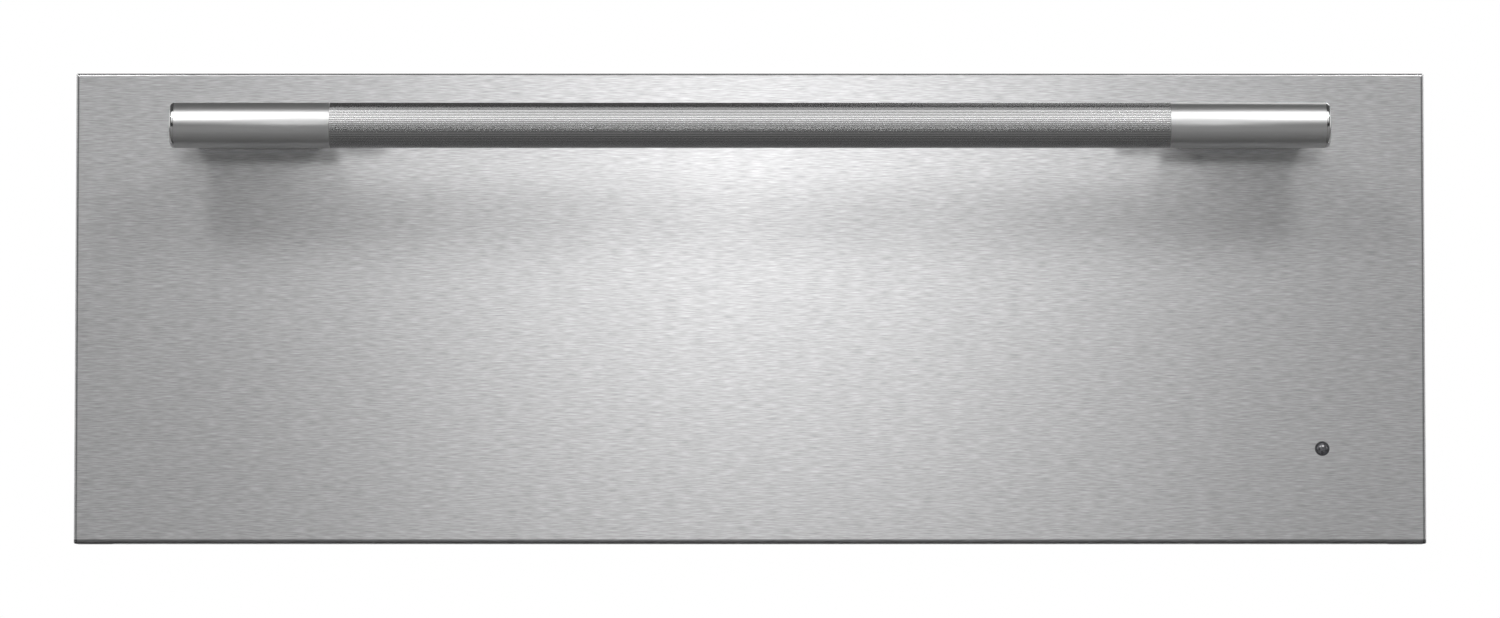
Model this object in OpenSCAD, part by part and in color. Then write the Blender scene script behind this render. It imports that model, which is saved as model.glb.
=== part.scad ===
// Built-in warming drawer: a heated drawer on ball-bearing slides in a sheet-metal case.
// X runs to the right, Y to the back and Z up. The origin is on the surface that the case stands on,
// midway across and in the plane of the cabinet's face, which the back of the front frame meets.

/* [Drawer front] */
// Width of the stainless front
front_w = 755.65; // [735:0.05:790]
// Height of the stainless front
front_h = 263.5; // [258:0.5:285]
// Depth of the folded front skin, from its face to the back of its lips
front_depth = 27; // [24:0.5:32]
// Thickness of the front skin
skin_t = 1; // [0.8:0.1:1.4]
// Outside radius of the fold between the face and its returns
bend_r = 2.2; // [1.8:0.1:3]
// How far the front hangs below the surface that the case stands on
front_overlap = 11; // [10:0.5:14]

/* [Handle] */
// From the front's side edges to the handle's ends
handle_side_gap = 56.825; // [40:0.025:60]
// Diameter of the handle bar
handle_d = 25; // [22:0.5:28]
// Distance from the front's face to the handle's axis
handle_standoff = 50; // [44:1:60]
// Distance from the front's top edge down to the handle's axis
handle_drop = 33.5; // [28:0.5:38]
// Length of each smooth end, end cap included
handle_end_len = 89; // [85:1:95]
// Number of flutes round the grip
flute_count = 72; // [48:4:84]
// Depth of a flute
flute_depth = 0.35; // [0.2:0.05:0.5]

/* [Case] */
// From the front's side edges to the case's sides
case_side_gap = 19.075; // [18:0.025:20]
// Height of the case
case_h = 231.8; // [230:0.1:240]
// Depth of the case behind the cabinet's face
case_depth = 590; // [586:1:620]
// Thickness of the case's sheet metal
case_t = 1; // [0.8:0.1:1.2]
// From the front's side edges to the front frame's
frame_side_gap = 5.325; // [4:0.025:6]
// Height of the front frame's top edge
frame_top = 250; // [246:0.5:251]
// Thickness of the front frame
frame_t = 1.2; // [1:0.1:1.5]

/* [Heated cavity] */
// Thickness of the cavity liner
liner_t = 1; // [0.8:0.1:1.2]
// Height of the liner's floor
liner_floor_z = 38; // [36:0.5:42]
// From the case's top down to the liner's ceiling
liner_top_gap = 25.8; // [23:0.1:28]
// Depth of the cavity behind the cabinet's face
liner_depth = 560; // [558:1:564]
// Diameter of the sheathed heating element
element_d = 6.5; // [5:0.5:8]

/* [Drawer box] */
// From the case's sides to the heated cavity's sides
cavity_side_gap = 57.05; // [57:0.05:66]
// Length of the drawer box behind the front
box_len = 547; // [535:1:549]
// Height of the underside of the drawer box
box_floor_z = 60; // [58:0.5:64]
// From the liner's ceiling down to the drawer box's rim
box_top_gap = 11; // [8:0.5:18]
// Thickness of the drawer box's sheet
box_t = 1; // [0.8:0.1:1.4]

/* [Slides] */
// Length of each slide member
slide_len = 520; // [500:1:540]
// How far the drawer opens
travel = 500; // [420:5:500]
// Thickness of a slide, from the liner to the drawer box
slide_t = 12.7; // [12.6:0.1:13.6]
// Height of a slide
slide_h = 45.7; // [44:0.1:50]
// Diameter of a slide's balls
ball_d = 3.2; // [3:0.1:3.4]
// Balls in each row of a cage
ball_count = 9; // [5:1:11]

/* [Controls] */
// Diameter of the control knob's skirt
knob_d = 34; // [28:0.5:35]
// Height of the control knob
knob_h = 17; // [14:0.5:19]
// Diameter of the indicator lens
lens_d = 6.2; // [5:0.1:7]
// Distance from the front's right edge to the indicator lens
lens_side = 58; // [56:0.5:59]
// Distance from the front's lower edge to the indicator lens
lens_up = 53; // [50:0.5:58]
// How far the vent slider moves
vent_travel = 12; // [8:0.5:12]

/* [Hidden] */
$fn = 48;
cut = 1; // overrun of every cut
seat_gap = 0.3; // between pieces that only come near each other
flute_share = 0.42; // of the flutes' pitch, for a flute's radius
pin_gap = 0.05; // between a fixed shank and its hole, on the radius
run_gap = 0.1; // between a ball and its race or its hole

// Planes of the drawer front
gasket_gap = 6; // from the front frame to the inner panel
inner_panel_t = 1;
panel_back_y = -(frame_t + gasket_gap);
panel_front_y = panel_back_y - inner_panel_t;
face_y = panel_front_y - front_depth;
skin_back_y = face_y + skin_t;
front_z0 = -front_overlap;
front_z1 = front_z0 + front_h;
lip_w = 14;
seam_gap = 0.5; // the open mitre at each corner of the skin
panel_inset = 3; // from the skin's edge to the inner panel's edge

// Slides and what lies between the liner and the drawer box
case_w = front_w - 2 * case_side_gap;
liner_half = case_w / 2 - cavity_side_gap;
box_half = liner_half - slide_t;
slide_y0 = 12;
slide_y1 = slide_y0 + slide_len;
liner_top_z = case_h - liner_top_gap;
box_top_z = liner_top_z - box_top_gap;
slide_z = (box_floor_z + box_top_z) / 2;
rail_t = 1.2;
race_t = 1.6;
race_depth = 0.5;
middle_race_t = 1.8;
race_r = ball_d / 2 + run_gap;
web_gap = 0.9; // between the webs of the cabinet and middle members
cage_t = 0.4;
cage_edge = 1; // cage metal past a ball
cage_margin = 10; // from a cage's end to the end of the shared stretch of rail
outer_ball_u = 5.2; // from the liner to the outer balls
inner_ball_u = 7.4; // from the liner to the inner balls
race_flange_u = 9.6; // from the liner to the edge of the cabinet and middle members
drawer_flange_u = 5; // from the liner to the edge of the drawer member
middle_web_u = rail_t + web_gap;
outer_cage_u = rail_t + (web_gap - cage_t) / 2;
inner_cage_u = middle_web_u + rail_t + seat_gap;
outer_ball_v = slide_h / 2 - race_t + race_depth - race_r;
middle_top_v = outer_ball_v - race_r + race_depth;
inner_ball_v = middle_top_v - middle_race_t + race_depth - race_r;
drawer_top_v = inner_ball_v - race_r + race_depth;
cage_y0 = slide_y0 + travel / 4 + cage_margin;
cage_len = slide_len - travel / 2 - 2 * cage_margin;
rail_screw_shares = [0.08, 0.5, 0.92]; // along a slide's length
rail_slot_shares = [0.2, 0.35, 0.65, 0.8]; // the unused slots along a slide's length
rail_slot_len = 16;
rail_slot_h = 5;

// Case
case_half = case_w / 2;
frame_w = front_w - 2 * frame_side_gap;
base_t = 1.2;
base_flange_h = 25;
base_slot_x_shares = [-0.25, 0, 0.25]; // of the case's width
base_slot_y_shares = [0.25, 0.5, 0.75]; // of the case's depth
case_foot_z = 0.6; // the case's sides end this far above the surface
rear_y = case_depth;
rear_flange = 12;
frame_z0 = 1.2;
frame_return = 20;
frame_corner_r = 3;
cabinet_hole_r = 2.5;
cabinet_hole_edge = 6.5; // from the frame's edge to its screw holes
cabinet_hole_x = frame_w / 2 - cabinet_hole_edge;
cabinet_hole_z0 = 62;
cabinet_hole_z1 = 192;
louvre_w = 36;
louvre_h = 5;
louvre_pitch = 14;
louvre_rows = 4;
louvre_cols = 6;
louvre_pitch_x = 52;
louvre_hood = 4;
louvre_drop = 81.8; // from the case's top to the lowest row of louvres
louvre_z0 = case_h - louvre_drop;
louvre_x0 = -190;
gland_r = 11;
gland_bore_r = 5.5;
gland_flange_r = 14.5;
gland_flange_t = 3;
gland_len = 9;
gland_z = 46;
duct_shift = 6; // of the wiring towards the case's side
duct_x = (liner_half + case_half) / 2 + duct_shift; // in the wiring space beside the liner
insulation_gap = 3;
side_board_t = 11;
top_board_t = 18;
floor_board_t = 16;
rear_board_t = 12;

// Screws
screw_r = 2;
screw_head_r = 3.8;
screw_head_h = 2.2;
screw_len = 7;
socket_r = 1.3;
socket_depth = 1.3;
case_screw_shares = [0.08, 0.5, 0.92]; // along the case's depth
edge_screw_inset = 12.5; // height of the screws along the base
panel_screw_x_shares = [-0.46, -0.23, 0, 0.23, 0.46]; // of the front's width
panel_side_screw_z = front_z0 + front_h / 2;

// Heating element and what holds it
element_lift = 10; // of the element's middle over the cavity's floor
element_z = liner_floor_z + element_lift;
element_x_step = 90;
element_bend_r = element_x_step / 2;
element_front_y = 60;
element_mid_y = 100;
element_back_y = 500;
element_tail = 16; // past the liner's back wall
element_fitting_r = 8;
element_fitting_t = 4;
terminal_w = 6.3;
terminal_t = 0.8;
terminal_len = 9;
reflector_t = 0.8;
reflector_side_gap = 39.7; // from the cavity's side to the reflector
reflector_half = liner_half - reflector_side_gap;
reflector_y0 = 42;
reflector_back_gap = 12; // from the cavity's back to the reflector
reflector_y1 = liner_depth - reflector_back_gap;
reflector_edge = 5;
clip_w = 12;
clip_len = 20;
clip_t = 1;
clip_y_shares = [0.22, 0.78]; // along the element
bulb_r = 4;
bulb_inset = 24; // from the liner's side to the thermostat's bulb
bulb_gap = 4.5; // from the liner's back to the bulb
bulb_y = liner_depth - bulb_gap - bulb_r;
capillary_lead = 4; // from the bulb's end to its capillary
capillary_x = liner_half - bulb_inset + bulb_r + capillary_lead;
bulb_len = 90;
bulb_drop = 16; // from the liner's top to the bulb
bulb_z = liner_top_z - bulb_drop;
capillary_r = 1.2;
limit_r = 9;
limit_t = 6;
limit_x = 120;
limit_z = 120;

// Controls beside the opening
fascia_t = 1.5;
fascia_edge = 1.5; // from the fascia to the case's side
fascia_inner_gap = 13.5; // from the cavity to the fascia
fascia_x0 = liner_half + fascia_inner_gap;
fascia_x1 = case_half - fascia_edge;
fascia_z0 = 28;
fascia_over_cavity = 2; // from the cavity's ceiling up to the fascia's edge
fascia_z1 = liner_top_z + fascia_over_cavity;
fascia_corner_r = 4;
fascia_y = -(frame_t + fascia_t);
knob_x = (fascia_x0 + fascia_x1) / 2;
knob_z = 150;
knob_grip_r = 11;
knob_skirt_h = 4;
knob_collar_h = 0.6; // plain ring between the skirt and the scallops
knob_scallop_r = 3;
knob_scallops = 10; // an even number that leaves a land under the pointer
scallop_out_share = 0.7; // of a scallop's radius, from the grip's edge to its middle
knob_top_t = 3; // over the knob's shaft
bushing_step = 0.7; // from the fascia to the end of the bushing
knob_y0 = fascia_y - bushing_step - seat_gap;
knob_face_y = knob_y0 - knob_h;
shaft_end_y = knob_face_y + knob_top_t;
pointer_w = 1.6;
pointer_depth = 1.2;
shaft_r = 3;
shaft_flat = 1; // depth of the flat on the shaft
thermostat_w = 34;
thermostat_depth = 26;
bushing_r = 5;
bushing_len = bushing_step - fascia_y; // of the bushing in front of the frame's back
lens_x = front_w / 2 - lens_side;
lens_z = front_z0 + lens_up;
lens_dome_h = 1.6;
lens_recess = 0.2;
bezel_wall = 0.95;
bezel_back_t = 1.6;
bezel_back_edge = 1.8;
lamp_r = 2.4;
lamp_out = 3.2; // from the fascia to the lamp's tip
lamp_body_w = 12;
lamp_body_depth = 10;
window_margin = 5; // round the fascia, in the inner panel
terminal_block_w = 30;
terminal_block_len = 44;
terminal_block_h = 18;
terminal_block_y = 500;
terminal_ways = 3;
terminal_screw_r = 3;
wire_r = 1.4;
wire_gap = 4.5; // between leads that run side by side
wire_floor_z = 26;
wire_turn = 12; // from a wire's end to its first bend

// Drawer front's inside
handle_len = front_w - 2 * handle_side_gap;
post_inset = 47; // from the handle's end to the middle of its post
post_x = handle_len / 2 - post_inset;
bracket_w = 62;
bracket_foot = 9;
bracket_t = 1.5;
box_front_screw_x = post_x - (bracket_w + bracket_foot) / 2;
bracket_z0 = 40;
bracket_z1 = front_z1 - lip_w - seat_gap;
front_board_gap = 6;
front_board_t = 20;
front_board_edge = 22; // from the front's lower and upper edges to its insulation
front_board_z0 = front_z0 + front_board_edge;
front_board_z1 = front_z1 - front_board_edge;
gasket_r = 2.85;
gasket_out = 6.3; // from the cavity's edge to the gasket's middle
gasket_corner_r = 12;
gasket_foot_w = 8;
gasket_foot_t = 1.5;

// Drawer box
weld_gap = 0.05; // left at each seam between the box's plates
box_rim_r = 2.2;
vent_corner_r = 2;
vent_outlet_z = 234; // of the slots that let the air out above the gasket
vent_slots = 6;
vent_slot_w = 9;
vent_pitch = 22;
vent_drop = 20; // from the box's rim to the vent
vent_z = box_top_z - vent_drop;
vent_slot_h = 8;
vent_plate_t = 1;
vent_plate_h = 20;
vent_plate_half = 104;
vent_rivet_x = 86;
vent_rivet_r = 1.6;
vent_rivet_head_r = 3.6;
vent_rivet_head_t = 1.2;
vent_knob_r = 5;
vent_neck_r = 3.5;
vent_knob_h = 9;
vent_knob_x = -vent_travel; // between two of the slider's slots

// Handle
post_w = 74;
post_h = 15;
post_foot_w = 78;
post_foot_h = 19;
post_foot_t = 2.5;
handle_r = handle_d / 2;
handle_y = face_y - handle_standoff;
handle_z = front_z1 - handle_drop;
cap_t = 3.2;
cap_crown = 0.8; // how far the cap's face bulges
cap_edge_r = 1.9;
cap_stud_r = 4;
cap_stud_len = 10;
grip_half = handle_len / 2 - handle_end_len;
spigot_r = 8;
spigot_len = 25;
handle_screw_r = 2.5;
handle_screw_x = 22; // either side of a post's middle
handle_screw_grip = 9; // of the screw in the bar
handle_head_r = 4.6;
handle_head_h = 3;

// Shared shapes

// A box given by its two opposite corners
module block(low, high) {
    translate(low) cube(high - low);
}

// A flat shape drawn in X and Z, thick from y0 to y1
module prism_y(y0, y1) {
    translate([0, y1, 0]) rotate([90, 0, 0]) linear_extrude(y1 - y0) children();
}

// A flat shape drawn in Y and Z, long from x0 to x1
module prism_x(x0, x1) {
    translate([x0, 0, 0]) rotate([90, 0, 90]) linear_extrude(x1 - x0) children();
}

module rod_y(x, z, y0, y1, r) {
    translate([x, y1, z]) rotate([90, 0, 0]) cylinder(h = y1 - y0, r = r);
}

module rod_x(x0, x1, y, z, r) {
    translate([x0, y, z]) rotate([0, 90, 0]) cylinder(h = x1 - x0, r = r);
}

// A rectangle with round corners, given by its lowest and highest corner
module round_rect(x0, y0, x1, y1, r) {
    translate([x0 + r, y0]) square([x1 - x0 - 2 * r, y1 - y0]);
    translate([x0, y0 + r]) square([x1 - x0, y1 - y0 - 2 * r]);
    for (x = [x0 + r, x1 - r], y = [y0 + r, y1 - r]) translate([x, y]) circle(r);
}

// A slot with round ends, middle at the origin
module slot_2d(w, h) {
    square([w - h, h], center = true);
    for (s = [-1, 1]) translate([s * (w - h) / 2, 0]) circle(h / 2);
}

// A domed screw with a hexagon socket: its head stands on z = 0 and its shank goes down
module screw(len = screw_len, r = screw_r, head_r = screw_head_r, head_h = screw_head_h) {
    crown = (head_r * head_r + head_h * head_h) / (2 * head_h);
    difference() {
        union() {
            intersection() {
                cylinder(h = head_h, r = head_r);
                translate([0, 0, head_h - crown]) sphere(crown);
            }
            translate([0, 0, -len]) cylinder(h = len, r = r);
        }
        translate([0, 0, head_h - socket_depth]) cylinder(h = socket_depth + cut, r = socket_r, $fn = 6);
    }
}

// The same shape on the left and on the right of the middle
module both_sides() {
    children();
    mirror([1, 0, 0]) children();
}

// Case

// Where the rows of screws along the sides of the case stand, as Y values
function case_screw_ys() = [for (s = case_screw_shares) s * case_depth];

module base_pan() {
    half = case_half - case_t;
    color("silver") difference() {
        union() {
            block([-half, 0, 0], [half, rear_y, base_t]);
            for (x = [-half, half - base_t])
                block([x, 0, 0], [x + base_t, rear_y - case_t, base_flange_h]);
            block([-liner_half, 0, 0], [liner_half, base_t, liner_floor_z - liner_t]);
        }
        for (side = [-1, 1], y = case_screw_ys())
            translate([side * half, y, edge_screw_inset]) rotate([0, 90, 0])
                cylinder(h = 2 * base_t + cut, r = screw_r + pin_gap, center = true);
        for (u = base_slot_x_shares, v = base_slot_y_shares)
            translate([u * case_w, v * case_depth, -cut]) linear_extrude(base_t + 2 * cut)
                slot_2d(louvre_w, louvre_h);
    }
}

module outer_case() {
    color("lightgray") difference() {
        union() {
            block([-case_half, 0, case_h - case_t], [case_half, rear_y, case_h]);
            for (x = [-case_half, case_half - case_t])
                block([x, 0, case_foot_z], [x + case_t, rear_y, case_h]);
        }
        for (side = [-1, 1], y = case_screw_ys())
            translate([side * case_half, y, edge_screw_inset]) rotate([0, 90, 0])
                cylinder(h = 2 * case_t + cut, r = screw_r + pin_gap, center = true);
        for (x = rear_screw_xs()) translate([x, rear_y - rear_flange / 2, case_h - case_t - cut])
            cylinder(h = case_t + 2 * cut, r = screw_r + pin_gap);
    }
}

// Where the screws along the rear edge of the case's top stand
function rear_screw_xs() = [-case_half / 2, 0, case_half / 2];

module rear_panel() {
    half = case_half - case_t - pin_gap;
    top = case_h - case_t - pin_gap;
    color("silver") difference() {
        union() {
            block([-half, rear_y - case_t, base_t], [half, rear_y, top]);
            block([-half, rear_y - rear_flange, top - case_t], [half, rear_y, top]);
            for (c = [0 : louvre_cols - 1], r = [0 : louvre_rows - 1]) louvre_hood(c, r);
        }
        for (c = [0 : louvre_cols - 1], r = [0 : louvre_rows - 1]) louvre_cut(c, r);
        rod_y(duct_x, gland_z, rear_y - case_t - cut, rear_y + cut, gland_r);
        for (x = rear_screw_xs()) translate([x, rear_y - rear_flange / 2, top - case_t - cut])
            cylinder(h = case_t + 2 * cut, r = screw_r + pin_gap);
    }
}

function louvre_place(c, r) = [louvre_x0 + c * louvre_pitch_x - louvre_w / 2, rear_y,
    louvre_z0 + r * louvre_pitch];

// The hood of one louvre, pressed inwards from the panel so that the back stays flat
module louvre_hood(c, r) {
    p = louvre_place(c, r);
    translate(p) prism_x(0, louvre_w)
        polygon([[0, 0], [-case_t, 0], [-louvre_hood, louvre_h], [-louvre_hood, louvre_h + case_t], [0,
            louvre_h + case_t]]);
}

module louvre_cut(c, r) {
    p = louvre_place(c, r);
    translate(p) prism_x(case_t, louvre_w - case_t)
        polygon([[cut, 0], [cut, louvre_h], [case_t - louvre_hood, louvre_h], [0, 0]]);
}

module front_frame() {
    half = frame_w / 2;
    inner = case_half - case_t;
    color("gainsboro") difference() {
        union() {
            prism_y(-frame_t, 0) round_rect(-half, frame_z0, half, frame_top, frame_corner_r);
            for (x = [-inner, inner - frame_t])
                block([x, -frame_t, base_flange_h + seat_gap], [x + frame_t, frame_return, case_h - case_t]);
        }
        prism_y(-frame_t - cut, cut)
            translate([-liner_half, liner_floor_z]) square([2 * liner_half, liner_top_z - liner_floor_z]);
        for (x = [-cabinet_hole_x, cabinet_hole_x], z = [cabinet_hole_z0, cabinet_hole_z1])
            rod_y(x, z, -frame_t - cut, cut, cabinet_hole_r);
        rod_y(knob_x, knob_z, -frame_t - cut, cut, bushing_r + pin_gap);
        rod_y(lens_x, lens_z, -frame_t - cut, cut, lamp_r + pin_gap);
    }
}

// The screws that hold the case to the base and to the rear panel
module case_screws() {
    color("darkgray") {
        for (y = case_screw_ys()) both_sides()
            translate([case_half, y, edge_screw_inset]) rotate([0, 90, 0]) screw();
        for (x = rear_screw_xs()) translate([x, rear_y - rear_flange / 2, case_h]) screw();
    }
}

// The cavity liner, open at the front
module cavity_liner() {
    out_half = liner_half + liner_t;
    color("silver") difference() {
        block([-out_half, 0, liner_floor_z - liner_t], [out_half, liner_depth + liner_t,
            liner_top_z + liner_t]);
        block([-liner_half, -cut, liner_floor_z], [liner_half, liner_depth, liner_top_z]);
        for (side = [-1, 1]) rod_y(side * element_x_step / 2, element_z, liner_depth - cut,
            liner_depth + liner_t + cut, element_d / 2 + run_gap);
        rod_y(capillary_x, bulb_z, liner_depth - cut, liner_depth + liner_t + cut, capillary_r + run_gap);
        for (s = rail_screw_shares) both_sides() translate([liner_half, slide_y0 + s * slide_len, slide_z])
            rotate([0, 90, 0]) cylinder(h = 2 * liner_t + 2 * cut, r = screw_r + pin_gap, center = true);
    }
}

// Stiff mineral-fibre boards round the liner, each a separate piece
module insulation_boards() {
    side = liner_half + liner_t + insulation_gap;
    top = liner_top_z + liner_t + seat_gap;
    floor_top = liner_floor_z - liner_t - seat_gap;
    back = liner_depth + liner_t + seat_gap;
    y0 = insulation_gap;
    color("khaki") {
        block([-side, y0, top], [side, back, top + top_board_t]);
        both_sides() block([side + seat_gap, y0 + frame_return, floor_top - floor_board_t],
            [side + seat_gap + side_board_t, back, top + top_board_t]);
        block([-side, y0, floor_top - floor_board_t], [side, back, floor_top]);
        difference() {
            block([-side, back + seat_gap, floor_top], [side, back + seat_gap + rear_board_t, top]);
            for (s = [-1, 1])
                rod_y(s * element_x_step / 2, element_z, back, rear_y, element_fitting_r + insulation_gap);
            rod_y(limit_x, limit_z, back, rear_y, limit_r + insulation_gap);
            rod_y(capillary_x, bulb_z, back, rear_y, insulation_gap);
        }
    }
}

// Screws through the liner into the cabinet members of the slides
module liner_screws() {
    color("darkgray") for (s = rail_screw_shares) both_sides()
        translate([liner_half + liner_t, slide_y0 + s * slide_len, slide_z]) rotate([0, 90, 0])
            screw(len = liner_t + rail_t);
}

// Heating element

module heat_reflector() {
    z = liner_floor_z;
    color("lightsteelblue") difference() {
        block([-reflector_half, reflector_y0, z], [reflector_half, reflector_y1, z + reflector_edge]);
        block([-reflector_half + reflector_t, reflector_y0 + reflector_t, z + reflector_t],
            [reflector_half - reflector_t, reflector_y1 - reflector_t, z + reflector_edge + cut]);
        for (s = [-1, 1])
            rod_y(s * element_x_step / 2, element_z, reflector_y1 - 2 * reflector_t, reflector_y1 + cut, element_d);
    }
}

// One bend of the element, a part of a ring in the XY plane, from angle a0 through turn
module element_bend(x, y, a0, turn) {
    translate([x, y, element_z]) rotate([0, 0, a0]) rotate_extrude(angle = turn)
        translate([element_bend_r, 0]) circle(element_d / 2, $fn = 24);
}

// A sheathed rod bent into six lengths, both ends leaving through the liner's back wall
module heating_element() {
    step = element_x_step;
    r = element_d / 2;
    tail_y = liner_depth + element_tail;
    color("dimgray") both_sides() {
        rod_y(step / 2, element_z, element_mid_y, tail_y, r);
        element_bend(step, element_mid_y, 180, 180);
        rod_y(step * 1.5, element_z, element_mid_y, element_back_y, r);
        element_bend(step * 2, element_back_y, 0, 180);
        rod_y(step * 2.5, element_z, element_front_y + element_bend_r, element_back_y, r);
        element_bend(step * 2, element_front_y + element_bend_r, -90, 90);
        rod_x(0, step * 2, element_front_y, element_z, r);
        rod_y(step / 2, element_z, liner_depth + liner_t, liner_depth + liner_t + element_fitting_t,
            element_fitting_r);
        block([step / 2 - terminal_w / 2, tail_y - cut, element_z - terminal_t / 2],
            [step / 2 + terminal_w / 2, tail_y + terminal_len, element_z + terminal_t / 2]);
    }
}

// Saddle clips that hold the element above the reflector
module element_clips() {
    z0 = liner_floor_z + reflector_t;
    r = element_d / 2 + run_gap;
    color("gray") for (s = clip_y_shares, k = [0.5, 1.5, 2.5]) both_sides()
        translate([k * element_x_step, element_front_y + s * (element_back_y - element_front_y) + clip_w, 0])
            prism_y(-clip_w / 2, clip_w / 2) difference() {
                union() {
                    translate([-clip_len / 2, z0]) square([clip_len, clip_t]);
                    translate([-r - clip_t, z0]) square([2 * (r + clip_t), element_z - z0]);
                    translate([0, element_z]) circle(r + clip_t);
                }
                translate([0, element_z]) circle(r);
                translate([-r, z0 + clip_t]) square([2 * r, element_z - z0 - clip_t]);
            }
}

// A run of wire through a list of points, each step along X, Y or Z, with round corners
module wire(points, r) {
    for (i = [0 : len(points) - 2]) {
        step = points[i + 1] - points[i];
        length = norm(step);
        translate(points[i]) rotate([0, acos(step.z / length), atan2(step.y, step.x)])
            cylinder(h = length, r = r, $fn = 16);
    }
    for (i = [1 : len(points) - 2]) translate(points[i]) sphere(r, $fn = 16);
}

// The thermostat's sensing bulb, clipped along the cavity's back wall, and its capillary to the thermostat
module thermostat_bulb() {
    x1 = liner_half - bulb_inset;
    clip_x = x1 - bulb_len / 2;
    out_y = rear_y - insulation_gap - case_t;
    near_y = thermostat_depth + wire_turn;
    color("peru") {
        rod_x(x1 - bulb_len, x1, bulb_y, bulb_z, bulb_r);
        wire([[x1, bulb_y, bulb_z], [capillary_x, bulb_y, bulb_z], [capillary_x, out_y, bulb_z],
            [duct_x, out_y, bulb_z], [duct_x, near_y, bulb_z], [duct_x, near_y, knob_z],
            [duct_x, thermostat_depth, knob_z]], capillary_r);
        difference() {
            prism_x(clip_x, clip_x + clip_w) {
                translate([bulb_y, bulb_z]) circle(bulb_r + clip_t);
                translate([bulb_y, bulb_z - clip_t]) square([liner_depth - bulb_y, 2 * clip_t]);
            }
            rod_x(clip_x - cut, clip_x + clip_w + cut, bulb_y, bulb_z, bulb_r + pin_gap);
        }
    }
}

// A disc thermostat on the liner's back that cuts the heat if the cavity overheats
module limit_thermostat() {
    y = liner_depth + liner_t;
    color("black") {
        rod_y(limit_x, limit_z, y, y + limit_t, limit_r);
        for (s = [-1, 1])
            block([limit_x + s * limit_r / 2 - terminal_t / 2, y + limit_t, limit_z - terminal_w / 2],
                [limit_x + s * limit_r / 2 + terminal_t / 2, y + limit_t + terminal_len,
                    limit_z + terminal_w / 2]);
    }
}

// Mains connection

module terminal_block() {
    x0 = duct_x - terminal_block_w / 2;
    color("ivory") difference() {
        block([x0, terminal_block_y, base_t],
            [x0 + terminal_block_w, terminal_block_y + terminal_block_len, base_t + terminal_block_h]);
        for (k = [0 : terminal_ways - 1], e = [0.25, 0.75])
            translate([x0 + (k + 0.5) * terminal_block_w / terminal_ways,
                terminal_block_y + e * terminal_block_len,
                base_t + terminal_block_h / 2]) cylinder(h = terminal_block_h, r = terminal_screw_r);
    }
}

// A round bushing in the rear panel that the supply lead would pass through
module cord_gland() {
    color("black") difference() {
        union() {
            rod_y(duct_x, gland_z, rear_y - gland_len, rear_y, gland_r - pin_gap);
            rod_y(duct_x, gland_z, rear_y, rear_y + gland_flange_t, gland_flange_r);
            rod_y(duct_x, gland_z, rear_y - gland_len, rear_y - case_t - seat_gap, gland_r + seat_gap);
        }
        rod_y(duct_x, gland_z, rear_y - gland_len - cut, rear_y + gland_flange_t + cut, gland_bore_r);
    }
}

// Insulated leads from the terminal block to the thermostat, the element and the limit thermostat,
// and from the thermostat to the lamp
module wiring_harness() {
    z = wire_floor_z;
    low_z = z - wire_gap;
    block_top = base_t + terminal_block_h + pin_gap;
    near_y = thermostat_depth + wire_turn;
    block_y0 = terminal_block_y + terminal_block_len / 4;
    block_y1 = terminal_block_y + terminal_block_len * 3 / 4;
    tab_y = liner_depth + element_tail + terminal_len / 2;
    tab_z = element_z - terminal_t / 2 - pin_gap;
    tab_x = element_x_step / 2;
    rear_wire_y = tab_y + wire_gap;
    limit_y = liner_depth + liner_t + limit_t + terminal_len + pin_gap;
    lamp_y = (lamp_body_depth + frame_return) / 2;
    left_x = duct_x - 2 * wire_gap;
    right_x = duct_x + 2 * wire_gap;
    color("firebrick") {
        for (x = [left_x, right_x])
            wire([[x, block_y0, block_top], [x, block_y0, z], [x, near_y, z],
                [x, near_y, knob_z], [x, thermostat_depth + pin_gap, knob_z]], wire_r);
        wire([[left_x, block_y1, block_top], [left_x, block_y1, z], [left_x, tab_y, z], [tab_x, tab_y, z],
            [tab_x, tab_y, tab_z]], wire_r);
        wire([[-tab_x, tab_y, tab_z], [-tab_x, tab_y, low_z], [-tab_x, rear_wire_y, low_z],
            [limit_x - limit_r / 2, rear_wire_y, low_z], [limit_x - limit_r / 2, rear_wire_y, limit_z],
            [limit_x - limit_r / 2, limit_y, limit_z]], wire_r);
        wire([[limit_x + limit_r / 2, limit_y, limit_z], [limit_x + limit_r / 2, rear_wire_y, limit_z],
            [limit_x + limit_r / 2, rear_wire_y, z], [right_x, rear_wire_y, z], [right_x, block_y1, z],
            [right_x, block_y1, block_top]], wire_r);
        wire([[lens_x, lamp_body_depth + pin_gap, lens_z], [lens_x, lamp_y, lens_z], [left_x, lamp_y, lens_z],
            [left_x, lamp_y, knob_z - thermostat_w / 2 - pin_gap]], wire_r);
    }
}

// Controls

module control_fascia() {
    color("black") difference() {
        prism_y(fascia_y, -frame_t) round_rect(fascia_x0, fascia_z0, fascia_x1, fascia_z1, fascia_corner_r);
        rod_y(knob_x, knob_z, fascia_y - cut, 0, bushing_r + pin_gap);
        rod_y(lens_x, lens_z, fascia_y - cut, 0, lamp_r + pin_gap);
    }
}

// The thermostat behind the frame, with its threaded bushing and its shaft
module thermostat_body() {
    half = thermostat_w / 2;
    color("slategray") {
        prism_y(0, thermostat_depth) round_rect(knob_x - half, knob_z - half, knob_x + half,
            knob_z + half, fascia_corner_r);
        rod_y(knob_x, knob_z, -bushing_len, 0, bushing_r);
        difference() {
            rod_y(knob_x, knob_z, shaft_end_y + run_gap, -bushing_len, shaft_r);
            block([knob_x - shaft_r, shaft_end_y, knob_z + shaft_r - shaft_flat],
                [knob_x + shaft_r, -bushing_len - knob_skirt_h, knob_z + shaft_r + cut]);
        }
    }
}

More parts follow.
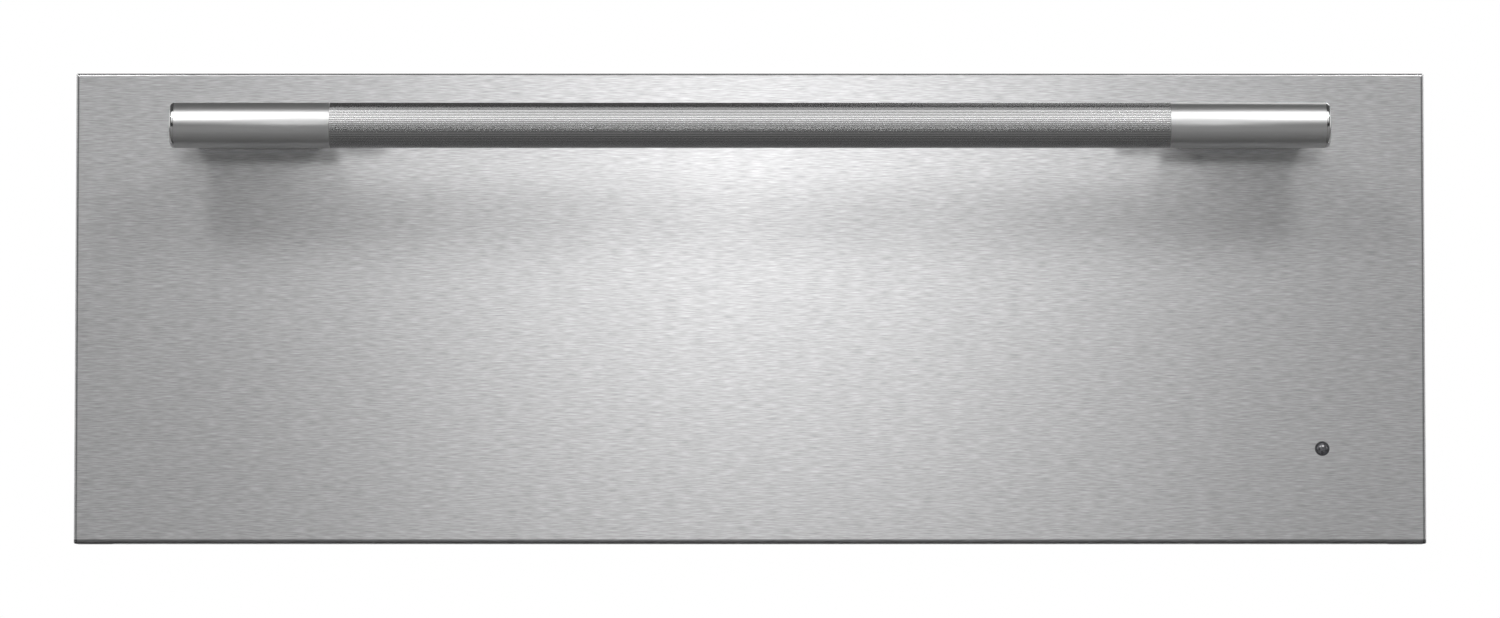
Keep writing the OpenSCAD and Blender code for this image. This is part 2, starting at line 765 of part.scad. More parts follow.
// The turning knob: a skirt and a scalloped grip
module control_knob() {
    color("black") difference() {
        union() {
            rod_y(knob_x, knob_z, knob_y0 - knob_skirt_h, knob_y0, knob_d / 2);
            rod_y(knob_x, knob_z, knob_face_y, knob_y0 - knob_skirt_h, knob_grip_r);
        }
        for (k = [0 : knob_scallops - 1]) rotate_at_knob(k * 360 / knob_scallops)
            rod_y(knob_x + knob_grip_r + knob_scallop_r * scallop_out_share, knob_z, knob_face_y - cut,
                knob_y0 - knob_skirt_h - knob_collar_h, knob_scallop_r);
        rod_y(knob_x, knob_z, shaft_end_y, knob_y0 + cut, shaft_r + run_gap);
        pointer_cut();
    }
}

module rotate_at_knob(a) {
    translate([knob_x, 0, knob_z]) rotate([0, a, 0]) translate([-knob_x, 0, -knob_z]) children();
}

// The groove of the pointer on the knob's face
module pointer_cut() {
    block([knob_x - pointer_w / 2, knob_face_y - cut, knob_z + shaft_r],
        [knob_x + pointer_w / 2, knob_face_y + pointer_depth, knob_z + 2 * knob_grip_r]);
}

// A light inlay that shows where the knob points
module knob_pointer() {
    color("white") block([knob_x - pointer_w / 2 + pin_gap, knob_face_y, knob_z + shaft_r + pin_gap],
        [knob_x + pointer_w / 2 - pin_gap, knob_face_y + pointer_depth - pin_gap,
            knob_z + knob_grip_r - pointer_w]);
}

// The lamp behind the lens, with its holder behind the frame
module indicator_lamp() {
    half = lamp_body_w / 2;
    color("orange") {
        rod_y(lens_x, lens_z, fascia_y - lamp_out + lamp_r, 0, lamp_r);
        translate([lens_x, fascia_y - lamp_out + lamp_r, lens_z]) sphere(lamp_r);
        block([lens_x - half, 0, lens_z - half], [lens_x + half, lamp_body_depth, lens_z + half]);
    }
}

// Slides

// Two flanges, one above and one below, from u0 to u1 with their outer faces v from the middle
module flange_pair(u0, u1, v, t) {
    for (low = [v - t, -v]) translate([u0, low]) square([u1 - u0, t]);
}

module race_pair(u, v) {
    for (s = [-1, 1]) translate([u, s * v]) circle(race_r, $fn = 24);
}

// Sections of the three members, with u from the liner towards the drawer box
module cabinet_rail_2d() {
    difference() {
        union() {
            translate([0, -slide_h / 2]) square([rail_t, slide_h]);
            flange_pair(0, race_flange_u, slide_h / 2, race_t);
        }
        race_pair(outer_ball_u, outer_ball_v);
    }
}

module middle_rail_2d() {
    difference() {
        union() {
            translate([middle_web_u, -middle_top_v]) square([rail_t, 2 * middle_top_v]);
            flange_pair(middle_web_u, race_flange_u, middle_top_v, middle_race_t);
        }
        race_pair(outer_ball_u, outer_ball_v);
        race_pair(inner_ball_u, inner_ball_v);
    }
}

module drawer_rail_2d() {
    difference() {
        union() {
            translate([slide_t - rail_t, -drawer_top_v]) square([rail_t, 2 * drawer_top_v]);
            flange_pair(drawer_flange_u, slide_t, drawer_top_v, race_t);
        }
        race_pair(inner_ball_u, inner_ball_v);
    }
}

// A section carried to its place on the left side, from y0 to y1
module slide_member(y0, y1) {
    translate([-liner_half, 0, slide_z]) prism_y(y0, y1) children();
}

// Round holes and slots through a web, between u0 and u1
module rail_holes(u0, u1) {
    for (s = rail_screw_shares) translate([-liner_half, slide_y0 + s * slide_len, slide_z])
        rod_x(u0 - cut, u1 + cut, 0, 0, screw_r + pin_gap);
    for (s = rail_slot_shares) translate([-liner_half, slide_y0 + s * slide_len, slide_z])
        prism_x(u0 - cut, u1 + cut) slot_2d(rail_slot_len, rail_slot_h);
}

module left_cabinet_rail() {
    color("silver") difference() {
        slide_member(slide_y0, slide_y1) cabinet_rail_2d();
        rail_holes(0, rail_t);
    }
}

module left_middle_rail() {
    color("lightgray") difference() {
        slide_member(slide_y0, slide_y1) middle_rail_2d();
        rail_holes(middle_web_u, middle_web_u + rail_t);
    }
}

module left_drawer_rail() {
    color("silver") difference() {
        slide_member(slide_y0, slide_y1) drawer_rail_2d();
        rail_holes(slide_t - rail_t, slide_t);
    }
}

// A cage: a thin channel that keeps two rows of balls apart, at web_u, with its balls at ball_u and ball_v
module ball_cage(web_u, ball_u, ball_v) {
    edge_u = ball_u + ball_d / 2 + cage_edge;
    pitch = cage_len / ball_count;
    ball_ys = [for (k = [0 : ball_count - 1]) cage_y0 + (k + 0.5) * pitch];
    color("goldenrod") difference() {
        slide_member(cage_y0, cage_y0 + cage_len) union() {
            translate([web_u, -ball_v]) square([cage_t, 2 * ball_v]);
            flange_pair(web_u, edge_u, ball_v + cage_t / 2, cage_t);
        }
        for (y = ball_ys, s = [-1, 1]) translate([ball_u - liner_half, y, slide_z + s * ball_v])
            cylinder(h = 2 * ball_d, r = ball_d / 2 + run_gap, center = true, $fn = 24);
    }
    color("gainsboro") for (y = ball_ys, s = [-1, 1])
        translate([ball_u - liner_half, y, slide_z + s * ball_v]) sphere(ball_d / 2, $fn = 24);
}

module left_outer_ball_cage() {
    ball_cage(outer_cage_u, outer_ball_u, outer_ball_v);
}

module left_inner_ball_cage() {
    ball_cage(inner_cage_u, inner_ball_u, inner_ball_v);
}

// Drawer box

function vent_xs() = [for (k = [0 : vent_slots - 1]) (k - (vent_slots - 1) / 2) * vent_pitch];

// The row of vent slots, drawn in X and Z
module vent_slots_2d(shift = 0) {
    for (x = vent_xs()) translate([x + shift, vent_z]) square([vent_slot_w, vent_slot_h], center = true);
}

// The box is five plates that meet in seams: a floor, two sides and two ends
module drawer_box() {
    y0 = panel_back_y;
    y1 = y0 + box_len;
    color("silver") {
        box_floor(y0 + box_t + weld_gap, y1 - box_t - weld_gap);
        both_sides() box_side(y0, y1);
        box_front(y0);
        box_end(y1 - box_t);
        box_rear_bead(y1);
    }
}

function box_end_half() = box_half - box_t - weld_gap;
// From a plate's outer face to the middle of its bead
function bead_out() = box_rim_r - box_t / 2;

module box_floor(y0, y1) {
    block([-box_end_half(), y0, box_floor_z], [box_end_half(), y1, box_floor_z + box_t]);
}

// One side, with the rolled bead along its rim on the outside
module box_side(y0, y1) {
    difference() {
        union() {
            block([box_half - box_t, y0, box_floor_z], [box_half, y1, box_top_z]);
            rod_y(box_half + bead_out(), box_top_z - box_rim_r, y0 + box_rim_r, y1 + bead_out() + box_rim_r, box_rim_r);
        }
        for (s = rail_screw_shares) translate([box_half, slide_y0 + s * slide_len, slide_z])
            rotate([0, 90, 0]) cylinder(h = 2 * box_t + 2 * cut, r = screw_r + pin_gap, center = true);
    }
}

// A plate between the sides, from y back by one thickness
module box_end(y) {
    block([-box_end_half(), y, box_floor_z], [box_end_half(), y + box_t, box_top_z]);
}

module box_front(y) {
    difference() {
        box_end(y);
        prism_y(y - cut, y + box_t + cut) vent_slots_2d();
        for (x = [-vent_rivet_x, vent_rivet_x])
            rod_y(x, vent_z, y - cut, y + box_t + cut, vent_rivet_r + pin_gap);
        for (x = box_front_screw_xs(), z = box_front_screw_zs())
            rod_y(x, z, y - cut, y + box_t + cut, screw_r + pin_gap);
    }
}

// The bead along the rim of the rear end
module box_rear_bead(y1) {
    rod_x(-box_end_half(), box_end_half(), y1 + bead_out(), box_top_z - box_rim_r, box_rim_r);
}

function box_front_screw_xs() = [-box_front_screw_x, box_front_screw_x];
function box_front_screw_zs() = [box_floor_z + edge_screw_inset, box_top_z - edge_screw_inset];

// Screws from inside the box into the slides and into the front
module box_screws() {
    color("darkgray") {
        for (s = rail_screw_shares)
            both_sides() translate([box_half - box_t, slide_y0 + s * slide_len, slide_z])
            rotate([0, -90, 0]) screw(len = box_t + rail_t);
        for (x = box_front_screw_xs(), z = box_front_screw_zs()) translate([x, panel_back_y + box_t, z])
            rotate([-90, 0, 0]) screw(len = box_t + inner_panel_t + bracket_t);
    }
}

// The sliding plate that opens and shuts the vent slots
module vent_slider() {
    y0 = panel_back_y + box_t + run_gap;
    color("lightgray") difference() {
        prism_y(y0, y0 + vent_plate_t)
            round_rect(-vent_plate_half, vent_z - vent_plate_h / 2, vent_plate_half - vent_travel,
                vent_z + vent_plate_h / 2, vent_corner_r);
        prism_y(y0 - cut, y0 + vent_plate_t + cut) vent_slots_2d(-vent_travel);
        for (x = [-vent_rivet_x, vent_rivet_x]) prism_y(y0 - cut, y0 + vent_plate_t + cut)
            translate([x - vent_travel / 2, vent_z])
                slot_2d(vent_travel + 2 * (vent_rivet_r + run_gap), 2 * (vent_rivet_r + run_gap));
    }
}

// The small knob on the vent slider
module vent_slider_knob() {
    y0 = panel_back_y + box_t + run_gap + vent_plate_t;
    color("black") {
        rod_y(vent_knob_x, vent_z, y0, y0 + vent_knob_h - vent_knob_r / 2, vent_neck_r);
        rod_y(vent_knob_x, vent_z, y0 + vent_knob_h - vent_knob_r / 2, y0 + vent_knob_h, vent_knob_r);
    }
}

// Two shoulder rivets that the slider runs on
module vent_rivets() {
    y0 = panel_front_y;
    y1 = panel_back_y + box_t + vent_plate_t + 2 * run_gap;
    color("darkgray") for (x = [-vent_rivet_x, vent_rivet_x]) {
        rod_y(x, vent_z, y0, y1, vent_rivet_r);
        rod_y(x, vent_z, y1, y1 + vent_rivet_head_t, vent_rivet_head_r);
    }
}

// Drawer front

// Section of one folded side of the skin: n from the outside edge inwards, d from the face backwards
module fold_2d() {
    inner_r = bend_r - skin_t;
    difference() {
        translate([bend_r, bend_r]) circle(bend_r);
        translate([bend_r, bend_r]) circle(inner_r);
        translate([bend_r, 0]) square([bend_r + cut, 2 * bend_r + cut]);
        translate([0, bend_r]) square([2 * bend_r + cut, bend_r + cut]);
    }
    translate([0, bend_r]) square([skin_t, front_depth - bend_r]);
    translate([0, front_depth - skin_t]) square([lip_w, skin_t]);
}

// One folded side of length len, its outside edge along X at z = 0 and its ends mitred
module folded_side(len) {
    half = len / 2;
    reach = lip_w + cut;
    intersection() {
        translate([0, face_y, 0]) rotate([90, 0, 90]) translate([0, 0, -half]) linear_extrude(len)
            mirror([1, -1]) fold_2d();
        prism_y(face_y - cut, panel_front_y + cut)
            polygon([[-half + seam_gap / 2, 0], [half - seam_gap / 2, 0],
                [half - seam_gap / 2 - reach, reach], [-half + seam_gap / 2 + reach, reach]]);
    }
}

// The stainless skin: a face with four folded sides
module front_skin() {
    half = front_w / 2;
    mid_z = (front_z0 + front_z1) / 2;
    color("lightslategray") difference() {
        union() {
            block([-half + bend_r, face_y, front_z0 + bend_r], [half - bend_r, skin_back_y, front_z1 - bend_r]);
            translate([0, 0, front_z0]) folded_side(front_w);
            translate([0, 0, front_z1]) mirror([0, 0, 1]) folded_side(front_w);
            translate([half, 0, mid_z]) rotate([0, -90, 0]) folded_side(front_h);
            translate([-half, 0, mid_z]) rotate([0, 90, 0]) folded_side(front_h);
        }
        rod_y(lens_x, lens_z, face_y - cut, skin_back_y + cut, lens_d / 2 + bezel_wall + pin_gap);
        for (x = handle_screw_xs())
            rod_y(x, handle_z, face_y - cut, skin_back_y + cut, handle_screw_r + pin_gap);
        for (x = panel_screw_xs(), z = [front_z0 + lip_w / 2, front_z1 - lip_w / 2])
            rod_y(x, z, panel_front_y - 2 * skin_t, panel_front_y + cut, screw_r + pin_gap);
        for (s = [-1, 1]) rod_y(s * (half - lip_w / 2), panel_side_screw_z, panel_front_y - 2 * skin_t,
            panel_front_y + cut, screw_r + pin_gap);
    }
}

function panel_screw_xs() = [for (s = panel_screw_x_shares) s * front_w];
function handle_screw_xs() = [for (s = [-1, 1], e = [-1, 1]) s * post_x + e * handle_screw_x];

// The plate that closes the back of the front, with a window for the controls
module front_inner_panel() {
    half = front_w / 2 - panel_inset;
    color("gainsboro") difference() {
        prism_y(panel_front_y, panel_back_y)
            round_rect(-half, front_z0 + panel_inset, half, front_z1 - panel_inset, frame_corner_r);
        prism_y(panel_front_y - cut, panel_back_y + cut) {
            round_rect(fascia_x0 - seat_gap, fascia_z0 - window_margin, fascia_x1 + window_margin / 2,
                fascia_z1 + window_margin, fascia_corner_r);
            vent_slots_2d();
            for (x = vent_xs()) translate([x, vent_outlet_z]) square([vent_slot_w, vent_slot_h], center = true);
            for (x = [-vent_rivet_x, vent_rivet_x]) translate([x, vent_z]) circle(vent_rivet_r + pin_gap);
            for (x = box_front_screw_xs(), z = box_front_screw_zs())
                translate([x, z]) circle(screw_r + pin_gap);
            for (x = panel_screw_xs(), z = [front_z0 + lip_w / 2, front_z1 - lip_w / 2])
                translate([x, z]) circle(screw_r + pin_gap);
            for (s = [-1, 1])
                translate([s * (front_w / 2 - lip_w / 2), panel_side_screw_z]) circle(screw_r + pin_gap);
        }
    }
}

// Screws that hold the inner panel to the skin's lips
module front_panel_screws() {
    color("darkgray") {
        for (x = panel_screw_xs(), z = [front_z0 + lip_w / 2, front_z1 - lip_w / 2])
            translate([x, panel_back_y, z]) rotate([-90, 0, 0]) screw();
        for (s = [-1, 1]) translate([s * (front_w / 2 - lip_w / 2), panel_back_y, panel_side_screw_z])
            rotate([-90, 0, 0]) screw();
    }
}

// A board between the brackets that keeps the front cool
module front_insulation() {
    half = post_x - bracket_w / 2 - bracket_foot - front_board_gap;
    y0 = skin_back_y + seat_gap;
    color("khaki") difference() {
        block([-half, y0, front_board_z0], [half, y0 + front_board_t, front_board_z1]);
        prism_y(y0 + front_board_t / 2, y0 + front_board_t + cut)
            round_rect(-vent_plate_half, vent_z - vent_plate_h, vent_plate_half,
                front_board_z1 + front_board_gap,
                vent_corner_r);
    }
}

// A hat-shaped upright that carries the handle and the drawer box
module front_bracket(x) {
    half = bracket_w / 2;
    depth = panel_front_y - skin_back_y;
    color("silver") difference() {
        translate([x, skin_back_y, bracket_z0]) linear_extrude(bracket_z1 - bracket_z0) {
            translate([-half, 0]) square([bracket_w, bracket_t]);
            for (u = [-half, half - bracket_t]) translate([u, 0]) square([bracket_t, depth]);
            for (u = [-half - bracket_foot, half - bracket_t])
                translate([u, depth - bracket_t]) square([bracket_foot + bracket_t, bracket_t]);
        }
        for (e = [-1, 1])
            rod_y(x + e * handle_screw_x, handle_z, skin_back_y - cut, skin_back_y + bracket_t + cut,
            handle_screw_r + pin_gap);
        for (z = box_front_screw_zs()) rod_y(sign(x) * box_front_screw_x, z, panel_front_y - 2 * bracket_t,
            panel_front_y + cut, screw_r + pin_gap);
    }
}

// The hollow seal's outer form: a round bead on a flat foot, right round the opening
module front_gasket() {
    half = liner_half + gasket_out;
    z0 = liner_floor_z - gasket_out;
    z1 = liner_top_z + gasket_out;
    y = panel_back_y + gasket_r;
    r = gasket_corner_r;
    color("dimgray") {
        for (z = [z0, z1]) rod_x(-half + r, half - r, y, z, gasket_r);
        for (x = [-half, half]) translate([x, y, z0 + r]) cylinder(h = z1 - z0 - 2 * r, r = gasket_r);
        for (c = [[half - r, z1 - r, 0], [-half + r, z1 - r, 90], [-half + r, z0 + r, 180], [half - r,
            z0 + r, 270]])
            translate([c[0], y, c[1]]) rotate([90, 0, 0]) rotate([0, 0, c[2]]) rotate_extrude(angle = 90)
                translate([r, 0]) circle(gasket_r);
        prism_y(panel_back_y, panel_back_y + gasket_foot_t) difference() {
            round_rect(-half - gasket_foot_w / 2, z0 - gasket_foot_w / 2, half + gasket_foot_w / 2,
                z1 + gasket_foot_w / 2, r + gasket_foot_w / 2);
            round_rect(-half + gasket_foot_w / 2, z0 + gasket_foot_w / 2, half - gasket_foot_w / 2,
                z1 - gasket_foot_w / 2, r - gasket_foot_w / 2);
        }
    }
}

// The clear lens: a dome in the face, and a light guide that ends near the lamp
module indicator_lens() {
    r = lens_d / 2;
    crown = (r * r + lens_dome_h * lens_dome_h) / (2 * lens_dome_h);
    guide_end = fascia_y - lamp_out - seat_gap;
    color("darkslategray") {
        intersection() {
            rod_y(lens_x, lens_z, face_y - lens_dome_h, face_y, r);
            translate([lens_x, face_y - lens_dome_h + crown, lens_z]) sphere(crown, $fn = 64);
        }
        rod_y(lens_x, lens_z, face_y, guide_end, r);
    }
}

// The dark bushing that holds the lens in the skin
module lens_bezel() {
    r = lens_d / 2;
    y1 = skin_back_y + bezel_back_t;
    color("black") difference() {
        union() {
            rod_y(lens_x, lens_z, face_y + lens_recess, y1, r + bezel_wall);
            rod_y(lens_x, lens_z, skin_back_y, y1, r + bezel_wall + bezel_back_edge);
        }
        rod_y(lens_x, lens_z, face_y - cut, y1 + cut, r + pin_gap);
    }
}

// Handle

// The fluted tube between the two smooth ends
module handle_grip() {
    groove_r = PI * handle_d / flute_count * flute_share;
    color("gray") translate([-grip_half, handle_y, handle_z]) rotate([90, 0, 90]) linear_extrude(2 * grip_half)
        difference() {
            circle(handle_r, $fn = 96);
            circle(spigot_r + pin_gap);
            for (k = [0 : flute_count - 1]) rotate(k * 360 / flute_count)
                translate([handle_r + groove_r - flute_depth, 0]) circle(groove_r, $fn = 16);
        }
}

// A smooth end of the bar, with a spigot in the fluted tube and tapped holes for its screws
module left_handle_sleeve() {
    x0 = -handle_len / 2 + cap_t;
    color("gainsboro") difference() {
        union() {
            rod_x(x0, -grip_half, handle_y, handle_z, handle_r);
            rod_x(-grip_half, -grip_half + spigot_len, handle_y, handle_z, spigot_r);
        }
        rod_x(x0 - cut, x0 + cap_stud_len + seat_gap, handle_y, handle_z, cap_stud_r + pin_gap);
        for (e = [-1, 1])
            rod_y(-post_x + e * handle_screw_x, handle_z, handle_y + handle_r - handle_screw_grip - seat_gap,
            handle_y + handle_r + cut, handle_screw_r + pin_gap);
    }
}

// Points of a cap's outline: x from the bar outwards, y the radius
function cap_outline() = concat(
    [[0, 0], [0, handle_r]],
    [for (a = [0 : 15 : 75]) [cap_t - cap_crown - cap_edge_r + cap_edge_r * sin(a),
        handle_r - cap_edge_r + cap_edge_r * cos(a)]],
    [for (k = [3 : -1 : 0]) let (y = (handle_r - cap_edge_r) * k / 4)
        [cap_t - cap_crown * pow(y / (handle_r - cap_edge_r), 2), y]]);

module left_handle_cap() {
    x0 = -handle_len / 2 + cap_t;
    color("silver") translate([x0, handle_y, handle_z]) rotate([0, -90, 0]) {
        rotate_extrude() polygon([for (p = cap_outline()) [p.y, p.x]]);
        translate([0, 0, -cap_stud_len]) cylinder(h = cap_stud_len, r = cap_stud_r);
    }
}

// The pillar between the face and the bar, hollowed to seat the bar
module left_handle_post() {
    bar_y = handle_y;
    color("gray") difference() {
        union() {
            prism_y(bar_y, face_y) translate([-post_x, handle_z]) slot_2d(post_w, post_h);
            prism_y(face_y - post_foot_t, face_y) translate([-post_x, handle_z]) slot_2d(post_foot_w,
                post_foot_h);
        }
        rod_x(-post_x - post_foot_w, -post_x + post_foot_w, handle_y, handle_z, handle_r + pin_gap);
        for (e = [-1, 1]) rod_y(-post_x + e * handle_screw_x, handle_z, bar_y - cut, face_y + cut,
            handle_screw_r + pin_gap);
    }
}

// Screws from inside the front through each post into the bar
module handle_screws() {
    seat_y = skin_back_y + bracket_t;
    length = seat_y - (handle_y + handle_r - handle_screw_grip);
    color("darkgray") for (x = handle_screw_xs()) translate([x, seat_y, handle_z]) rotate([-90, 0, 0])
        screw(len = length, r = handle_screw_r, head_r = handle_head_r, head_h = handle_head_h);
}

base_pan();
outer_case();
rear_panel();
front_frame();
cavity_liner();
insulation_boards();
heat_reflector();
heating_element();
element_clips();
thermostat_bulb();
limit_thermostat();
terminal_block();
cord_gland();
control_fascia();
thermostat_body();
indicator_lamp();
wiring_harness();
case_screws();
liner_screws();
left_cabinet_rail();
mirror([1, 0, 0]) left_cabinet_rail();  // right_cabinet_rail
left_middle_rail();
mirror([1, 0, 0]) left_middle_rail();  // right_middle_rail
left_outer_ball_cage();
mirror([1, 0, 0]) left_outer_ball_cage();  // right_outer_ball_cage
left_inner_ball_cage();
mirror([1, 0, 0]) left_inner_ball_cage();  // right_inner_ball_cage
left_drawer_rail();
mirror([1, 0, 0]) left_drawer_rail();  // right_drawer_rail
drawer_box();
box_screws();
vent_rivets();
vent_slider();
vent_slider_knob();
front_skin();
front_inner_panel();
front_insulation();
front_bracket(-post_x);  // left_front_bracket
front_bracket(post_x);  // right_front_bracket
front_gasket();
front_panel_screws();
indicator_lens();
lens_bezel();
handle_grip();
left_handle_sleeve();
mirror([1, 0, 0]) left_handle_sleeve();  // right_handle_sleeve
left_handle_cap();
mirror([1, 0, 0]) left_handle_cap();  // right_handle_cap
left_handle_post();
mirror([1, 0, 0]) left_handle_post();  // right_handle_post
handle_screws();
control_knob();
knob_pointer();
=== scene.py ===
"""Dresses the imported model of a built-in warming drawer.

The frame holds every piece at its real size. This script gives each of them its finish, models the
pieces of the front again with smooth surfaces, and sets up a plain studio with the photograph's camera.
Lengths are in metres. X runs to the right, Y to the back and Z up.
"""

from __future__ import annotations

import logging
import math
from dataclasses import dataclass
from enum import Enum
from typing import Callable, Sequence

import bmesh
import bpy
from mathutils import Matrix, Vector

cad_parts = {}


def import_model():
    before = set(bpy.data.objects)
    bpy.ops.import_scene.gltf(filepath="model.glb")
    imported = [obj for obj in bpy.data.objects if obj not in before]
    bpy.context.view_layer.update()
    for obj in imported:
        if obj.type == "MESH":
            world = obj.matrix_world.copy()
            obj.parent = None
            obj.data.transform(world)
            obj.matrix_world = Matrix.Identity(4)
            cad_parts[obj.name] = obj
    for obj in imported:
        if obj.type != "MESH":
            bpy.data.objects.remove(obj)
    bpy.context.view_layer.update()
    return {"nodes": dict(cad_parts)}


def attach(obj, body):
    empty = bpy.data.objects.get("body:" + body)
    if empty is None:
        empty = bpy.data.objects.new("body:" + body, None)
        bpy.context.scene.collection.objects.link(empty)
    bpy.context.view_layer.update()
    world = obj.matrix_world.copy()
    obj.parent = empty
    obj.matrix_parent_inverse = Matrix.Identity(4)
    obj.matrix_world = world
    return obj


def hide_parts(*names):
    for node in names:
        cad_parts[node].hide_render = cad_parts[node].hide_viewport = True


LOG = logging.getLogger("warming_drawer")
MM = 0.001
SIDES = {-1: "left", 1: "right"}
FRONT = Vector((0.0, -1.0, 0.0))
BACK = Vector((0.0, 1.0, 0.0))
WHITE = (1.0, 1.0, 1.0)
CARD_EDGE = 0.5

# Tolerances for places, for directions of faces and edges, and for the share of a radius
NEAR = 0.005 * MM
FACING = 0.999
ALONG = 0.99
RIM = 0.97

# Values of the shared effects
COARSE_SHARES = (0.45, 0.12, 0.12)
NOISE_MIDDLE = 0.5
BROAD_EDGE = (0.3, 0.7)
BROAD_RELIEF = 0.6
PATCH_EDGE = (0.32, 0.68)
SPECK_EDGE = (0.35, 0.65)

# Short names of types
Colour = tuple[float, float, float]
Point = tuple[float, float, float]
Pair = tuple[float, float]
Socket = bpy.types.NodeSocket
Node = bpy.types.Node
Sockets = bpy.types.NodeOutputs
Test = Callable[[Vector, Vector], bool]


@dataclass(frozen=True)
class Layout:
    """Where the drawer's front carries what several pieces share."""

    half_width: float = 377.825 * MM
    low_z: float = -11 * MM
    high_z: float = 252.5 * MM
    face_y: float = -35.2 * MM
    bar_y: float = -85.2 * MM
    bar_z: float = 219 * MM
    flutes: int = 72
    lens_x: float = 319.825 * MM
    lens_z: float = 42 * MM
    knob_x: float = 336.225 * MM
    knob_z: float = 150 * MM


LAYOUT = Layout()


# Nodes and materials


class Graph:
    """A node tree, with short calls that add nodes and join them."""

    def __init__(self, tree: bpy.types.NodeTree) -> None:
        """Keeps the tree."""
        self.tree = tree

    @classmethod
    def fresh(cls, owner: bpy.types.Material | bpy.types.World) -> Graph:
        """Empties the tree of a material or world and takes it.

        Args:
            owner: the material or world.

        Returns:
            The empty graph.
        """
        owner.use_nodes = True
        owner.node_tree.nodes.clear()
        return cls(owner.node_tree)

    @classmethod
    def group(cls, name: str, inputs: dict[str, float | None],
              outputs: Sequence[str]) -> tuple[Graph, dict, dict]:
        """Starts a shader group.

        Args:
            name: the group's name.
            inputs: input names with their defaults, None for a vector.
            outputs: names of the float outputs.

        Returns:
            The graph, its input sockets by name and its output sockets by name.
        """
        tree = bpy.data.node_groups.new(name, "ShaderNodeTree")
        for key, value in inputs.items():
            kind = "NodeSocketVector" if value is None else "NodeSocketFloat"
            socket = tree.interface.new_socket(key, in_out="INPUT", socket_type=kind)
            if value is not None:
                socket.default_value = value
        for key in outputs:
            tree.interface.new_socket(key, in_out="OUTPUT", socket_type="NodeSocketFloat")
        start, end = tree.nodes.new("NodeGroupInput"), tree.nodes.new("NodeGroupOutput")
        return cls(tree), {s.name: s for s in start.outputs}, {s.name: s for s in end.inputs}

    def add(self, kind: str, settings: dict | None = None, **inputs: object) -> Node:
        """Adds a node and feeds it.

        Args:
            kind: the shader node's type, such as Math.
            settings: properties of the node itself.
            inputs: values or output sockets by input name, with _ for a space.

        Returns:
            The new node.
        """
        node = self.tree.nodes.new(f"ShaderNode{kind}")
        for name, value in (settings or {}).items():
            setattr(node, name, value)
        self.feed(node, **inputs)
        return node

    def feed(self, node: Node, **inputs: object) -> None:
        """Feeds a node's inputs, which are named with _ for a space."""
        for name, value in inputs.items():
            self.put(node.inputs[name.replace("_", " ")], value)

    def put(self, socket: Socket, value: object) -> None:
        """Links a socket, or sets its value.

        Args:
            socket: the input socket.
            value: an output socket, a number, a vector or a colour.
        """
        if isinstance(value, Socket):
            self.tree.links.new(value, socket)
        elif socket.type == "RGBA":
            socket.default_value = (*value, 1.0)
        else:
            socket.default_value = value

    def close(self, kind: str, shader: Socket) -> None:
        """Joins a shader to the output of a Material or World."""
        self.add(f"Output{kind}", None, Surface=shader)

    def math(self, operation: str, *values: object) -> Socket:
        """Calculates with numbers or sockets.

        Args:
            operation: the Math node's operation, such as MULTIPLY.
            values: numbers or sockets, in order.

        Returns:
            The result.
        """
        node = self.add("Math", {"operation": operation})
        for socket, value in zip(node.inputs, values):
            self.put(socket, value)
        return node.outputs[0]

    def ramp(self, value: Socket, low: float, high: float, to_low: float = 0.0,
             to_high: float = 1.0) -> Socket:
        """Maps a value from one range to another and clamps it.

        Args:
            value: the socket to map.
            low: the value that becomes to_low.
            high: the value that becomes to_high.
            to_low: the result at low.
            to_high: the result at high.

        Returns:
            The mapped value.
        """
        return self.add("MapRange", None, Value=value, From_Min=low, From_Max=high, To_Min=to_low,
                        To_Max=to_high).outputs["Result"]

    def bell(self, value: Socket, width: float) -> Socket:
        """A bell curve over a value: 1 at 0 and 1/e at the width to either side."""
        square = self.math("POWER", self.math("DIVIDE", self.math("ABSOLUTE", value), width), 2.0)
        return self.math("EXPONENT", self.math("MULTIPLY", square, -1.0))

    def mix(self, share: object, first: object, second: object) -> Socket:
        """Blends two colours, by the share of the second.

        Args:
            share: how much of the second, from 0 to 1.
            first: a colour or socket.
            second: a colour or socket.

        Returns:
            The blended colour.
        """
        node = self.add("Mix", {"data_type": "RGBA"})
        for index, value in ((0, share), (6, first), (7, second)):
            self.put(node.inputs[index], value)
        return node.outputs[2]

    def scaled(self, colour: object, share: object) -> Socket:
        """A colour times a number.

        Args:
            colour: a colour or socket.
            share: a number or socket.

        Returns:
            The colour.
        """
        node = self.add("VectorMath", {"operation": "SCALE"}, Scale=share)
        self.put(node.inputs[0], colour)
        return node.outputs[0]

    def noise(self, vector: Socket, **inputs: object) -> Socket:
        """Cloudy noise over a vector."""
        return self.add("TexNoise", None, Vector=vector, **inputs).outputs["Fac"]

    def place(self) -> Socket:
        """The object's own coordinates."""
        return self.add("TexCoord").outputs["Object"]

    def stretched(self, scale: Point) -> Socket:
        """The object's own coordinates, times the units of a pattern in a metre of each axis."""
        return self.add("Mapping", None, Vector=self.place(), Scale=scale).outputs[0]

    def axes(self, vector: Socket) -> Sockets:
        """A vector's outputs X, Y and Z."""
        return self.add("SeparateXYZ", None, Vector=vector).outputs

    def seen(self) -> Socket:
        """1 for a ray from the camera, metal or glass, and 0 for any other.

        Returns:
            The 1 or 0.
        """
        path = self.add("LightPath").outputs
        sharp = self.math("MAXIMUM", path["Is Camera Ray"], path["Is Glossy Ray"])
        return self.math("MAXIMUM", sharp, path["Is Transmission Ray"])

